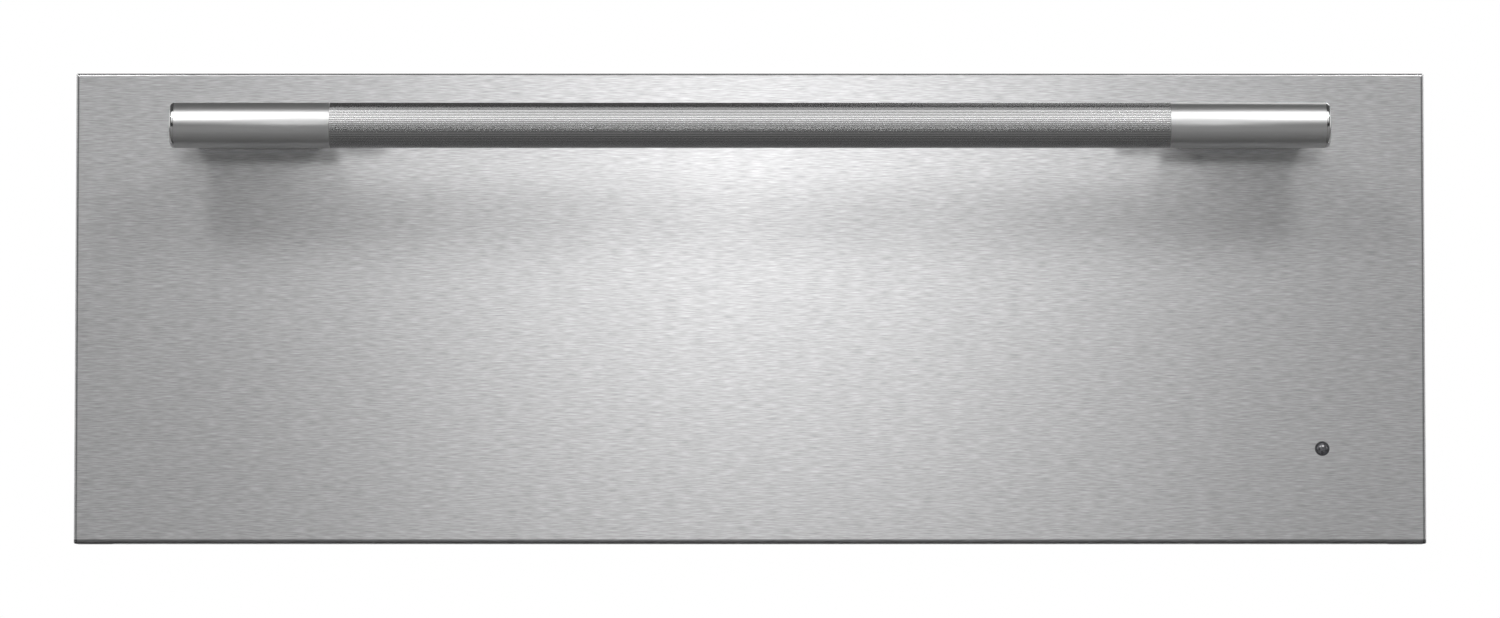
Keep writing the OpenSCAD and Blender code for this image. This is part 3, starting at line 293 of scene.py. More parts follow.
    def bump(self, shader: Node, height: Socket, strength: float,
             distance: float) -> None:
        """Gives a shader a bump.

        Args:
            shader: the Principled BSDF.
            height: the height to follow.
            strength: the bump's strength.
            distance: the real height.
        """
        node = self.add("Bump", None, Height=height, Strength=strength, Distance=distance)
        self.feed(shader, Normal=node.outputs[0])


class Effect(Enum):
    """The shared shader effects, each a node group that is built once."""

    STREAKS = "streaks"
    HANDLING = "handling"
    SPECKLE = "speckle"

    def on(self, graph: Graph, **inputs: object) -> Sockets:
        """Places the effect in a material.

        Args:
            graph: the material's graph.
            inputs: the effect's inputs.

        Returns:
            Its outputs.
        """
        build = {Effect.STREAKS: self._streaks, Effect.HANDLING: self._handling,
                 Effect.SPECKLE: self._speckle}[self]
        tree = bpy.data.node_groups.get(self.value) or build()
        return graph.add("Group", {"node_tree": tree}, **inputs).outputs

    def _streaks(self) -> bpy.types.NodeTree:
        """Brushing: fine and coarse streaks along the axis that the vector is stretched on.

        Returns:
            The group's tree.
        """
        graph, ins, outs = Graph.group(self.value, {"Vector": None, "Contrast": 1.0},
                                       ("Fine", "Broad", "Height"))
        coarse = graph.add("VectorMath", {"operation": "MULTIPLY"})
        for socket, value in zip(coarse.inputs, (ins["Vector"], COARSE_SHARES)):
            graph.put(socket, value)
        fine = graph.noise(ins["Vector"], Scale=1.0, Detail=2.0, Roughness=0.5)
        broad = graph.noise(coarse.outputs[0], Scale=1.0, Detail=3.0, Roughness=0.6)
        swing = graph.math("MULTIPLY", graph.math("SUBTRACT", fine, NOISE_MIDDLE), ins["Contrast"])
        graph.put(outs["Fine"], graph.math("ADD", swing, NOISE_MIDDLE))
        graph.put(outs["Broad"], graph.ramp(broad, *BROAD_EDGE))
        relief = graph.math("MULTIPLY", broad, BROAD_RELIEF)
        graph.put(outs["Height"], graph.math("ADD", fine, relief))
        return graph.tree

    def _handling(self) -> bpy.types.NodeTree:
        """Soft uneven patches that cleaning and handling leave.

        Returns:
            The group's tree.
        """
        graph, ins, outs = Graph.group(self.value, {"Vector": None, "Scale": 6.0}, ("Patch",))
        noise = graph.noise(ins["Vector"], Scale=ins["Scale"], Detail=5.0, Roughness=0.55,
                            Distortion=0.4)
        graph.put(outs["Patch"], graph.ramp(noise, *PATCH_EDGE))
        return graph.tree

    def _speckle(self) -> bpy.types.NodeTree:
        """A fine moulded or cast texture.

        Returns:
            The group's tree.
        """
        graph, ins, outs = Graph.group(self.value, {"Vector": None, "Scale": 1500.0},
                                       ("Mask", "Height"))
        cells = graph.add("TexVoronoi", None, Vector=ins["Vector"], Scale=ins["Scale"])
        noise = graph.noise(ins["Vector"], Scale=ins["Scale"], Detail=2.0)
        graph.put(outs["Mask"], graph.ramp(noise, *SPECK_EDGE))
        graph.put(outs["Height"], graph.math("ADD", cells.outputs["Distance"], noise))
        return graph.tree


def new_material(name: str, surface: Callable[[Graph], Socket]) -> bpy.types.Material:
    """A material that is built at the first call for its name.

    Args:
        name: the material's name.
        surface: adds the nodes and gives the shader's output.

    Returns:
        The material.
    """
    found = bpy.data.materials.get(name)
    if not found:
        found = bpy.data.materials.new(name)
        graph = Graph.fresh(found)
        graph.close("Material", surface(graph))
    return found


class Finish:
    """Base of all finishes."""

    name: str
    colour: Colour

    def material(self) -> bpy.types.Material:
        """The finish's material, built at the first call."""
        return new_material(self.name, self.surface)

    def surface(self, graph: Graph) -> Socket:
        """Adds a Principled BSDF and wires it.

        Args:
            graph: the material's graph.

        Returns:
            The shader's output.
        """
        shader = graph.add("BsdfPrincipled")
        self.wire(graph, shader)
        return shader.outputs[0]

    def wire(self, graph: Graph, shader: Node) -> None:
        """Feeds the shader's inputs.

        Args:
            graph: the material's graph.
            shader: its Principled BSDF.
        """
        raise NotImplementedError

    def tone(self, factor: float, lift: float = 0.0) -> Colour:
        """The finish's colour, darker or lighter."""
        return tuple(min(1.0, part * factor + lift) for part in self.colour)

    @staticmethod
    def patchy(graph: Graph, per_m: float, low: float, high: float) -> Socket:
        """A value that handling patches vary.

        Args:
            graph: the material's graph.
            per_m: how many patches go into a metre.
            low: the value where nothing was touched.
            high: the value in a patch.

        Returns:
            The value.
        """
        patch = Effect.HANDLING.on(graph, Vector=graph.place(), Scale=per_m)["Patch"]
        return graph.ramp(patch, 0.0, 1.0, low, high)


@dataclass(frozen=True)
class BrushedSteel(Finish):
    """Stainless steel with a directional grain."""

    name: str
    colour: Colour = (0.6, 0.6, 0.6)
    roughness: float = 0.3
    along: str = "X"
    grain_per_m: float = 2600.0
    grain_length_per_m: float = 9.0
    contrast: float = 0.35
    depth: float = 0.000006
    anisotropy: float = 0.5
    rotation: float = 0.0
    metallic: float = 1.0
    dark: float = 0.72
    light: float = 1.16
    rough_spread: float = 0.03
    patch_per_m: float = 7.0
    polish: float = -0.008
    smear: float = 0.01
    bump: float = 0.5

    def wire(self, graph: Graph, shader: Node) -> None:
        """Streaks in colour, roughness and height, over soft handling patches.

        Args:
            graph: the material's graph.
            shader: its Principled BSDF.
        """
        per_m = tuple(self.grain_length_per_m if axis == self.along else self.grain_per_m
                      for axis in "XYZ")
        streaks = Effect.STREAKS.on(graph, Vector=graph.stretched(per_m), Contrast=self.contrast)
        colour = graph.mix(streaks["Fine"], self.tone(self.dark), self.tone(self.light))
        rough = graph.ramp(streaks["Broad"], 0.0, 1.0, self.roughness * (1.0 - self.rough_spread),
                           self.roughness * (1.0 + self.rough_spread))
        smear = self.patchy(graph, self.patch_per_m, self.polish, self.smear)
        graph.feed(shader, Base_Color=self.shade(graph, colour), Metallic=self.metallic,
                   Roughness=graph.math("ADD", rough, smear), Anisotropic=self.anisotropy,
                   Anisotropic_Rotation=self.rotation)
        graph.bump(shader, streaks["Height"], self.bump, self.depth)

    def shade(self, graph: Graph, colour: Socket) -> Socket:
        """The steel's colour, as it is."""
        return colour


@dataclass(frozen=True)
class FlutedSteel(BrushedSteel):
    """Brushed steel of the fluted grip, with painted shade in the bottom of each flute."""

    ridge: float = -0.4
    groove_shade: float = 0.5

    def shade(self, graph: Graph, colour: Socket) -> Socket:
        """Paints shade into the flutes: darkens the colour by the angle round the bar.

        Args:
            graph: the material's graph.
            colour: the steel's colour.

        Returns:
            The shaded colour.
        """
        place = graph.axes(graph.place())
        angle = graph.math("ARCTAN2", graph.math("SUBTRACT", place["Z"], LAYOUT.bar_z),
                           graph.math("SUBTRACT", place["Y"], LAYOUT.bar_y))
        # Painted shade: darker towards the bottom of each flute.
        wave = graph.math("COSINE", graph.math("MULTIPLY", angle, float(LAYOUT.flutes)))
        return graph.scaled(colour, graph.ramp(wave, self.ridge, 1.0, 1.0, self.groove_shade))


@dataclass(frozen=True)
class FoldedSteel(BrushedSteel):
    """Brushed steel of the folded front, with painted shade along its side, lower and upper folds."""

    side_line: float = 1.4 * MM
    line_width: float = 0.4 * MM
    low_band: Pair = (2.08 * MM, 2.6 * MM)
    high_band: Pair = (1.4 * MM, 0.7 * MM)
    fold_shade: float = 0.35

    def shade(self, graph: Graph, colour: Socket) -> Socket:
        """Paints shade on the folds: a dark line at each side, and dark bands on the lower fold and the
        upper edge.

        Args:
            graph: the material's graph.
            colour: the steel's colour.

        Returns:
            The shaded colour.
        """
        place = graph.axes(graph.place())
        # Painted shade on the folds: a dark line near each side edge and dark bands at the bottom and the
        # top.
        off = graph.math("SUBTRACT", graph.math("ABSOLUTE", place["X"]),
                         LAYOUT.half_width - self.side_line)
        line = graph.math("MULTIPLY", 1.0 - self.fold_shade, graph.bell(off, self.line_width))
        side = graph.math("SUBTRACT", 1.0, line)
        low = graph.ramp(place["Z"], *(LAYOUT.low_z + edge for edge in self.low_band), self.fold_shade, 1.0)
        high = graph.ramp(place["Z"], *(LAYOUT.high_z - edge for edge in self.high_band), 1.0,
                          self.fold_shade)
        return graph.scaled(colour, graph.math("MULTIPLY", side, graph.math("MULTIPLY", low, high)))


@dataclass(frozen=True)
class SheetMetal(Finish):
    """Zinc-coated or plain rolled sheet, with spangle and faint rolling marks."""

    name: str
    colour: Colour = (0.43, 0.45, 0.47)
    roughness: float = 0.5
    spangle_per_m: float = 130.0
    spangle: float = 0.12
    patch_per_m: float = 9.0
    polish: float = -0.06
    smear: float = 0.08
    bump: float = 0.15
    depth: float = 0.0002

    def wire(self, graph: Graph, shader: Node) -> None:
        """Flat crystals of slightly different grey, with patches in the roughness.

        Args:
            graph: the material's graph.
            shader: its Principled BSDF.
        """
        cells = graph.add("TexVoronoi", None, Vector=graph.place(), Scale=self.spangle_per_m).outputs
        grey = graph.ramp(cells["Color"], 0.0, 1.0, 1.0 - self.spangle, 1.0 + self.spangle)
        rough = self.patchy(graph, self.patch_per_m, self.roughness + self.polish,
                            self.roughness + self.smear)
        graph.feed(shader, Base_Color=graph.scaled(self.colour, grey), Roughness=rough, Metallic=1.0)
        graph.bump(shader, cells["Distance"], self.bump, self.depth)


@dataclass(frozen=True)
class Moulding(Finish):
    """Moulded plastic, rubber or ceramic with a fine texture."""

    name: str
    colour: Colour = (0.02, 0.02, 0.022)
    roughness: float = 0.45
    texture_per_m: float = 2400.0
    depth: float = 0.00004
    coat: float = 0.0
    metallic: float = 0.0
    second: float = 1.25
    second_lift: float = 0.004
    patch_per_m: float = 25.0
    polish: float = -0.05
    smear: float = 0.08
    bump: float = 0.3

    def wire(self, graph: Graph, shader: Node) -> None:
        """Speckle in colour and height, patches in roughness.

        Args:
            graph: the material's graph.
            shader: its Principled BSDF.
        """
        speck = Effect.SPECKLE.on(graph, Vector=graph.place(), Scale=self.texture_per_m)
        second = self.tone(self.second, self.second_lift)
        rough = self.patchy(graph, self.patch_per_m, self.roughness + self.polish,
                            self.roughness + self.smear)
        graph.feed(shader, Base_Color=graph.mix(self.share(graph, speck), self.colour, second),
                   Roughness=rough, Coat_Weight=self.coat, Metallic=self.metallic)
        graph.bump(shader, speck["Height"], self.bump, self.depth)

    def share(self, graph: Graph, speck: Sockets) -> Socket:
        """Where the second tone lies: in the speckle."""
        return speck["Mask"]


@dataclass(frozen=True)
class PlatedMetal(Moulding):
    """Bright plated steel: screws, slides, clips and caps."""

    colour: Colour = (0.62, 0.63, 0.65)
    roughness: float = 0.2
    texture_per_m: float = 900.0
    metallic: float = 1.0
    second: float = 0.86
    second_lift: float = 0.0
    patch_per_m: float = 60.0
    polish: float = 0.0
    smear: float = 0.12
    bump: float = 0.08

    def share(self, graph: Graph, speck: Sockets) -> Socket:
        """Where the second tone lies: in the handling patches."""
        return self.patchy(graph, self.patch_per_m, 0.0, 1.0)


@dataclass(frozen=True)
class Fibre(Finish):
    """Pressed mineral fibre: a mat of short strands in a pale binder."""

    name: str
    colour: Colour = (0.62, 0.56, 0.38)
    strands_per_m: tuple[Point, Point] = ((180.0, 2200.0, 900.0), (2200.0, 180.0, 240.0))
    strand_edge: Pair = (0.42, 0.72)
    binder: float = 0.6
    roughness: Pair = (0.95, 0.8)
    sheen: float = 0.2
    bump: float = 0.7
    depth: float = 0.0012

    def wire(self, graph: Graph, shader: Node) -> None:
        """Crossed strand noise for colour and height.

        Args:
            graph: the material's graph.
            shader: its Principled BSDF.
        """
        strands = graph.math("MAXIMUM", *(
            graph.noise(graph.stretched(per_m), Scale=1.0, Detail=5.0, Distortion=1.5)
            for per_m in self.strands_per_m))
        mask = graph.ramp(strands, *self.strand_edge)
        graph.feed(shader, Base_Color=graph.mix(mask, self.tone(self.binder), self.colour),
                   Roughness=graph.ramp(mask, 0.0, 1.0, *self.roughness), Sheen_Weight=self.sheen)
        graph.bump(shader, strands, self.bump, self.depth)


@dataclass(frozen=True)
class SmokedLens(Finish):
    """The indicator's dark clear lens."""

    name: str
    colour: Colour = (0.035, 0.035, 0.038)
    facets_per_m: float = 700.0
    facet_edge: Pair = (0.2, 0.7)
    facet_light: float = 2.6
    patch_per_m: float = 300.0
    roughness: Pair = (0.08, 0.14)
    coat_roughness: float = 0.03

    def wire(self, graph: Graph, shader: Node) -> None:
        """A near black body that shows the facets moulded behind it, under a clear coat.

        Args:
            graph: the material's graph.
            shader: its Principled BSDF.
        """
        cells = graph.add("TexVoronoi", None, Vector=graph.place(), Scale=self.facets_per_m).outputs
        facets = graph.ramp(cells["Distance"], *self.facet_edge)
        graph.feed(shader, Base_Color=graph.mix(facets, self.colour, self.tone(self.facet_light)),
                   Roughness=self.patchy(graph, self.patch_per_m, *self.roughness), Coat_Weight=1.0,
                   Coat_Roughness=self.coat_roughness)


class Finishes:
    """Every finish of the drawer, by what it is used for."""

    face = FoldedSteel("face_steel", colour=(0.57, 0.57, 0.575), roughness=0.22, grain_per_m=1900.0,
                       grain_length_per_m=125.0, contrast=2.3, depth=0.000001, anisotropy=0.62,
                       rotation=0.25, metallic=0.6)
    grip = FlutedSteel("grip_steel", colour=(0.5, 0.5, 0.5), roughness=0.24, grain_per_m=1800.0,
                       contrast=0.2, anisotropy=0.0, depth=0.000001)
    sleeve = BrushedSteel("sleeve_steel", colour=(0.56, 0.56, 0.56), roughness=0.33,
                          grain_per_m=1800.0, contrast=0.3, anisotropy=0.0, depth=0.000001,
                          metallic=0.94)
    liner = BrushedSteel("liner_steel", colour=(0.55, 0.55, 0.56), roughness=0.36, contrast=0.25,
                         grain_per_m=1500.0, along="Y")
    panel = BrushedSteel("panel_steel", colour=(0.57, 0.57, 0.58), roughness=0.36, contrast=0.25,
                         grain_per_m=1500.0)
    zinc = SheetMetal("zinc_sheet")
    reflector = SheetMetal("bright_reflector", colour=(0.72, 0.72, 0.74), roughness=0.22,
                           spangle=0.04, spangle_per_m=40.0)
    slide = PlatedMetal("slide_zinc", colour=(0.64, 0.66, 0.69), roughness=0.24)
    cage = PlatedMetal("cage_zinc", colour=(0.62, 0.55, 0.34), roughness=0.3)
    screw = PlatedMetal("screw_plating", colour=(0.5, 0.5, 0.51), roughness=0.22, patch_per_m=300.0)
    polished = PlatedMetal("polished_steel", colour=(0.6, 0.6, 0.6), roughness=0.1)
    sheath = PlatedMetal("oxidised_sheath", colour=(0.16, 0.145, 0.135), roughness=0.42,
                         patch_per_m=120.0)
    copper = PlatedMetal("bare_copper", colour=(0.62, 0.34, 0.22), roughness=0.26)
    can = PlatedMetal("thermostat_can", colour=(0.46, 0.48, 0.5), roughness=0.34)
    black = Moulding("black_moulding")
    knob = Moulding("knob_moulding", roughness=0.32, texture_per_m=1800.0, coat=0.2)
    inlay = Moulding("pointer_inlay", colour=(0.82, 0.82, 0.8), roughness=0.5)
    ceramic = Moulding("terminal_ceramic", colour=(0.74, 0.71, 0.62), roughness=0.5,
                       texture_per_m=1200.0)
    lamp = Moulding("lamp_glass", colour=(0.7, 0.24, 0.05), roughness=0.12, texture_per_m=600.0,
                    coat=0.8)
    lead = Moulding("silicone_lead", colour=(0.42, 0.035, 0.03), roughness=0.5, texture_per_m=900.0)
    seal = Moulding("silicone_seal", colour=(0.045, 0.045, 0.048), roughness=0.6,
                    texture_per_m=700.0)
    fibre = Fibre("mineral_fibre")
    lens = SmokedLens("smoked_lens")


def both(*names: str) -> tuple[str, ...]:
    """The left and the right node of each name."""
    return tuple(f"{side}_{name}" for name in names for side in SIDES.values())


FINISHED: tuple[tuple[Finish, tuple[str, ...]], ...] = (
    (Finishes.zinc, ("base_pan", "outer_case", "rear_panel", *both("front_bracket"))),
    (Finishes.panel, ("front_frame", "front_inner_panel")),
    (Finishes.liner, ("cavity_liner", "drawer_box", "vent_slider")),
    (Finishes.fibre, ("insulation_boards", "front_insulation")),
    (Finishes.reflector, ("heat_reflector",)),
    (Finishes.sheath, ("heating_element",)),
    (Finishes.slide, ("element_clips", *both("cabinet_rail", "middle_rail", "drawer_rail"))),
    (Finishes.cage, both("outer_ball_cage", "inner_ball_cage")),
    (Finishes.copper, ("thermostat_bulb",)),
    (Finishes.can, ("thermostat_body",)),
    (Finishes.ceramic, ("terminal_block",)),
    (Finishes.lamp, ("indicator_lamp",)),
    (Finishes.lead, ("wiring_harness",)),
    (Finishes.black, ("limit_thermostat", "cord_gland", "control_fascia", "vent_slider_knob",
                      "lens_bezel")),
    (Finishes.screw, ("case_screws", "liner_screws", "box_screws", "vent_rivets",
                      "front_panel_screws", "handle_screws")),
    (Finishes.face, ("front_skin",)),
    (Finishes.seal, ("front_gasket",)),
    (Finishes.lens, ("indicator_lens",)),
    (Finishes.grip, ("handle_grip",)),
    (Finishes.sleeve, both("handle_sleeve", "handle_post")),
    (Finishes.polished, both("handle_cap")),
    (Finishes.knob, ("control_knob",)),
    (Finishes.inlay, ("knob_pointer",)),
)
NODE_FINISH = {name: finish for finish, names in FINISHED for name in names}


def dress_nodes(nodes: dict[str, bpy.types.Object]) -> None:
    """Gives every CAD node its finish.

    Args:
        nodes: the frame's nodes by name.
    """
    for name, node in nodes.items():
        node.data.materials.clear()
        node.data.materials.append(NODE_FINISH[name].material())
        LOG.info("dressed %s with %s", name, NODE_FINISH[name].name)


# Modelling


class Part(Enum):
    """The mesh elements that a tool works on."""

    VERT = "VERT"
    EDGE = "EDGE"
    FACE = "FACE"


def near(one: float, other: float) -> bool:
    """Whether two coordinates are the same but for rounding."""
    return abs(one - other) < NEAR


def facing(way: Vector, through: Point | None = None) -> Test:
    """Makes a test for faces that look one way.

    Args:
        way: the direction, of length 1.
        through: a point of their plane, if only one plane is meant.

    Returns:
        The test, for Shaper.pick.
    """
    def test(place: Vector, normal: Vector) -> bool:
        """Whether a face looks that way and lies there.

        Args:
            place: the face's middle.
            normal: its normal.

        Returns:
            True if it does.
        """
        if through and not near((place - Vector(through)).dot(way), 0.0):
            return False
        return normal.dot(way) > FACING
    return test


class Shaper:
    """A mesh that is shaped with Blender's own tools, as by hand."""

    def __init__(self, name: str) -> None:
        """Takes the primitive that was just added, and puts its place into its mesh.

        Args:
            name: the piece's name.
        """
        self.obj = bpy.context.active_object
        self.obj.name = name
        self.obj.data.name = name
        bpy.ops.object.transform_apply(location=True, rotation=True, scale=True)
        bpy.ops.object.mode_set(mode="EDIT")

    @staticmethod
    def clear() -> None:
        """Deselects everything before a primitive is added."""
        if bpy.context.object and bpy.context.object.mode != "OBJECT":
            bpy.ops.object.mode_set(mode="OBJECT")
        bpy.ops.object.select_all(action="DESELECT")

    @classmethod
    def rod(cls, name: str, radius: float, start: Point, end: Point, sides: int = 64) -> Shaper:
        """Starts from a cylinder between two points.

        Args:
            name: the piece's name.
            radius: its radius.
            start: the middle of one end.
            end: the middle of the other end.
            sides: how many sides it has.

        Returns:
            The mesh, in edit mode.
        """
        cls.clear()
        along = Vector(end) - Vector(start)
        bpy.ops.mesh.primitive_cylinder_add(
            vertices=sides, radius=radius, depth=along.length, location=(Vector(start) + Vector(end)) / 2,
            rotation=along.to_track_quat("Z", "Y").to_euler(), end_fill_type="NGON")
        return cls(name)

    @classmethod
    def block(cls, name: str, low: Point, high: Point) -> Shaper:
        """Starts from a box between two corners.

        Args:
            name: the piece's name.
            low: the lowest corner.
            high: the highest corner.

        Returns:
            The mesh, in edit mode.
        """
        cls.clear()
        bpy.ops.mesh.primitive_cube_add(size=1.0, location=(Vector(low) + Vector(high)) / 2,
                                        scale=Vector(high) - Vector(low))
        return cls(name)

    @classmethod
    def ring(cls, name: str, radius: float, centre: Point, axis: Point, sides: int = 64) -> Shaper:
        """Starts from an open circle.

        Args:
            name: the piece's name.
            radius: its radius.
            centre: its middle.
            axis: the direction that it faces.
            sides: how many points it has.

        Returns:
            The mesh, in edit mode with every point selected.
        """
        cls.clear()
        bpy.ops.mesh.primitive_circle_add(vertices=sides, radius=radius, location=centre,
                                          rotation=Vector(axis).to_track_quat("Z", "Y").to_euler())
        return cls(name)

    @staticmethod
    def pick_all() -> None:
        """Selects the whole mesh."""
        bpy.ops.mesh.select_all(action="SELECT")

    def pick(self, part: Part, test: Test) -> None:
        """Selects elements by their place and normal, and nothing else.

        Args:
            part: which kind of element.
            test: takes the element's middle and its normal or, for an edge, its direction.
        """
        bpy.ops.mesh.select_mode(type=part.value)
        bpy.ops.mesh.select_all(action="DESELECT")
        mesh = bmesh.from_edit_mesh(self.obj.data)
        if part is Part.VERT:
            rows = [(item, item.co, item.normal) for item in mesh.verts]
        elif part is Part.EDGE:
            ends = [(item, item.verts[0].co, item.verts[1].co) for item in mesh.edges]
            rows = [(item, (a + b) / 2, (b - a).normalized()) for item, a, b in ends]
        else:
            mesh.normal_update()
            rows = [(item, item.calc_center_median(), item.normal) for item in mesh.faces]
        for item, place, way in rows:
            if test(place, way):
                item.select_set(True)
        mesh.select_flush_mode()
        bmesh.update_edit_mesh(self.obj.data)

    def extrude(self, move: Point) -> None:
        """Extrudes the selected faces and moves them."""
        bpy.ops.mesh.extrude_region_move(TRANSFORM_OT_translate={"value": move})

    def extrude_edges(self, move: Point = (0.0, 0.0, 0.0)) -> None:
        """Extrudes the selected edges and moves them."""
        bpy.ops.mesh.extrude_edges_move(TRANSFORM_OT_translate={"value": move})

    def move(self, by: Point) -> None:
        """Moves what is selected."""
        bpy.ops.transform.translate(value=by)

    def turn(self, degrees: float, axis: str, centre: Point) -> None:
        """Turns what is selected about a line through a point."""
        bpy.ops.transform.rotate(value=math.radians(degrees), orient_axis=axis, center_override=centre)

    def resize(self, factors: Point, centre: Point) -> None:
        """Scales what is selected about a point."""
        bpy.ops.transform.resize(value=factors, center_override=centre)

    def inset(self, width: float) -> None:
        """Insets the selected faces."""
        bpy.ops.mesh.inset(thickness=width, depth=0.0)

    def round(self, width: float, segments: int = 3) -> None:
        """Rounds the selected edges with that many facets."""
        bpy.ops.mesh.bevel(offset=width, segments=segments, profile=0.5, affect="EDGES",
                           offset_type="OFFSET", clamp_overlap=True)

    def modify(self, kind: str, **settings: object) -> None:
        """Adds a modifier and applies it.

        Args:
            kind: the modifier's type.
            settings: its properties.
        """
        self.choose()
        made = self.obj.modifiers.new(kind.lower(), kind)
        for name, value in settings.items():
            setattr(made, name, value)
        bpy.ops.object.modifier_apply(modifier=made.name)
        bpy.ops.object.mode_set(mode="EDIT")

    def cut(self, tool: Shaper) -> None:
        """Cuts another mesh out of this one and deletes that one."""
        self.modify("BOOLEAN", operation="DIFFERENCE", solver="EXACT", object=tool.obj)
        bpy.data.objects.remove(tool.obj)

    def choose(self) -> None:
        """Makes this the only selected object, in object mode."""
        self.clear()
        self.obj.select_set(True)
        bpy.context.view_layer.objects.active = self.obj

    def finish(self, finish: Finish, body: str, slot: str, nodes: Sequence[str] = (),
               sharp: float = 35.0, recalculate: bool = True) -> bpy.types.Object:
        """Ends the shaping: outward normals, smooth shading, finish and body.

        Args:
            finish: the piece's finish.
            body: the body that it rides on.
            slot: not used.
            nodes: the CAD nodes that it stands for.
            sharp: the angle in degrees over which an edge stays sharp.
            recalculate: whether the normals are turned outwards.

        Returns:
            The finished object.
        """
        bpy.ops.mesh.select_mode(type="VERT")
        self.pick_all()
        bpy.ops.mesh.remove_doubles(threshold=0.002 * MM)
        if recalculate:
            bpy.ops.mesh.normals_make_consistent(inside=False)
        bpy.ops.mesh.select_all(action="DESELECT")
        self.choose()
        bpy.ops.object.shade_smooth_by_angle(angle=math.radians(sharp))
        self.obj.data.materials.append(finish.material())
        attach(self.obj, body)
        if nodes:
            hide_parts(*nodes)
        LOG.info("modelled %s: %d faces, %s", self.obj.name, len(self.obj.data.polygons), finish.name)
        return self.obj


# Handle


@dataclass
class Handle:
    """The bar handle: a fluted grip between two smooth ends with rounded caps."""

    length: float = 642 * MM
    radius: float = 12.5 * MM
    grip_half: float = 232 * MM
    spigot_radius: float = 8 * MM
    spigot_length: float = 25 * MM
    flute_depth: float = 0.1 * MM
    flute_half_share: float = 0.41
    points_per_flute: int = 8
    cap_length: float = 3.2 * MM
    cap_rounding: float = 1.9 * MM
    cap_crown: float = 0.8 * MM
    cap_rings: int = 5
    joint_rounding: float = 0.25 * MM

    def build(self) -> None:
        """Models the grip, the ends and their caps."""
        self.grip()
        for side in SIDES:
            self.sleeve(side)
            self.cap(side)

    def centre(self, x: float) -> Point:
        """A point on the bar's axis."""
        return (x, LAYOUT.bar_y, LAYOUT.bar_z)

    def off_axis(self, place: Vector) -> float:
        """How far a point is from the bar's axis."""
        return math.hypot(place.y - LAYOUT.bar_y, place.z - LAYOUT.bar_z)

    def flute_share(self, step: int) -> float:
        """How far the surface lies in at one point of a flute.

        Args:
            step: the point's number, from 0 in the middle of a flute.

        Returns:
            The factor on the radius.
        """
        pitch = math.tau * self.radius / LAYOUT.flutes
        across = min(step, self.points_per_flute - step) * pitch / self.points_per_flute
        half_width = self.flute_half_share * pitch
        if across >= half_width:
            return 1.0
        return 1.0 - self.flute_depth * (1.0 - (across / half_width) ** 2) / self.radius

    def grip(self) -> None:
        """A circle pulled in at every flute, drawn out along the bar and closed at both ends."""
        sides = LAYOUT.flutes * self.points_per_flute
        turn = math.tau / sides
        start = self.centre(-self.grip_half)
        part = Shaper.ring("handle_grip_fluted", self.radius, start, (1, 0, 0), sides)
        for step in range(self.points_per_flute):
            def at_step(place: Vector, _: Vector, step: int = step) -> bool:
                """Whether a point is this one of its flute."""
                angle = math.atan2(place.z - LAYOUT.bar_z, place.y - LAYOUT.bar_y)
                return round(angle / turn) % self.points_per_flute == step
            part.pick(Part.VERT, at_step)
            factor = self.flute_share(step)
            part.resize((1.0, factor, factor), start)
        part.pick_all()
        part.extrude_edges((2 * self.grip_half, 0.0, 0.0))
        inner = self.spigot_radius / self.radius
        for end in (-self.grip_half, self.grip_half):
            part.pick(Part.VERT, lambda place, _, end=end: near(place.x, end))
            bpy.ops.mesh.select_mode(type="EDGE")
            part.extrude_edges()
            part.resize((1.0, inner, inner), self.centre(end))
        part.pick(Part.EDGE, lambda place, way: abs(way.x) < ALONG and near(abs(place.x), self.grip_half)
                  and self.off_axis(place) < self.spigot_radius / RIM)
        bpy.ops.mesh.bridge_edge_loops()
        grip = part.finish(Finishes.grip, "drawer", "handle_steel", ("handle_grip",), sharp=50.0)
        # The photograph shows no reflection of the grip in the face.
        grip.visible_glossy = False

    def sleeve(self, side: int) -> None:
        """A turned smooth end with a softened rim, and its spigot in the grip.

        Args:
            side: -1 for the left, 1 for the right.
        """
        name = SIDES[side]
        outer = self.centre(side * (self.length / 2 - self.cap_length))
        inner = self.centre(side * self.grip_half)
        part = Shaper.rod(f"{name}_handle_end", self.radius, inner, outer, sides=128)
        part.pick(Part.FACE, facing(Vector((-side, 0.0, 0.0)), inner))
        part.inset(self.radius - self.spigot_radius)
        part.extrude((-side * self.spigot_length, 0.0, 0.0))
        part.pick(Part.EDGE, lambda place, way: abs(way.x) < ALONG
                  and self.off_axis(place) > self.radius * RIM)
        part.round(self.joint_rounding)
        part.finish(Finishes.sleeve, "drawer", "handle_steel", (f"{name}_handle_sleeve",))

    def cap(self, side: int) -> None:
        """An end cap with a full rounded rim and a slightly crowned face.

        Args:
            side: -1 for the left, 1 for the right.
        """
        name = SIDES[side]
        outer = self.centre(side * (self.length / 2 - self.cap_crown))
        inner = self.centre(side * (self.length / 2 - self.cap_length))
        part = Shaper.rod(f"{name}_handle_cap_turned", self.radius, inner, outer, sides=96)
        part.pick(Part.EDGE, lambda place, way: near(place.x, outer[0]))
        part.round(self.cap_rounding, segments=8)
        part.pick(Part.FACE, facing(Vector((side, 0.0, 0.0)), outer))
        steps = self.cap_rings + 1
        for left in range(self.cap_rings, 0, -1):
            part.inset((self.radius - self.cap_rounding) / steps)
            rise = self.cap_crown * (((left + 1) / steps) ** 2 - (left / steps) ** 2)
            part.move((side * rise, 0.0, 0.0))
        part.finish(Finishes.polished, "drawer", "polished_steel", (f"{name}_handle_cap",))


# Drawer front


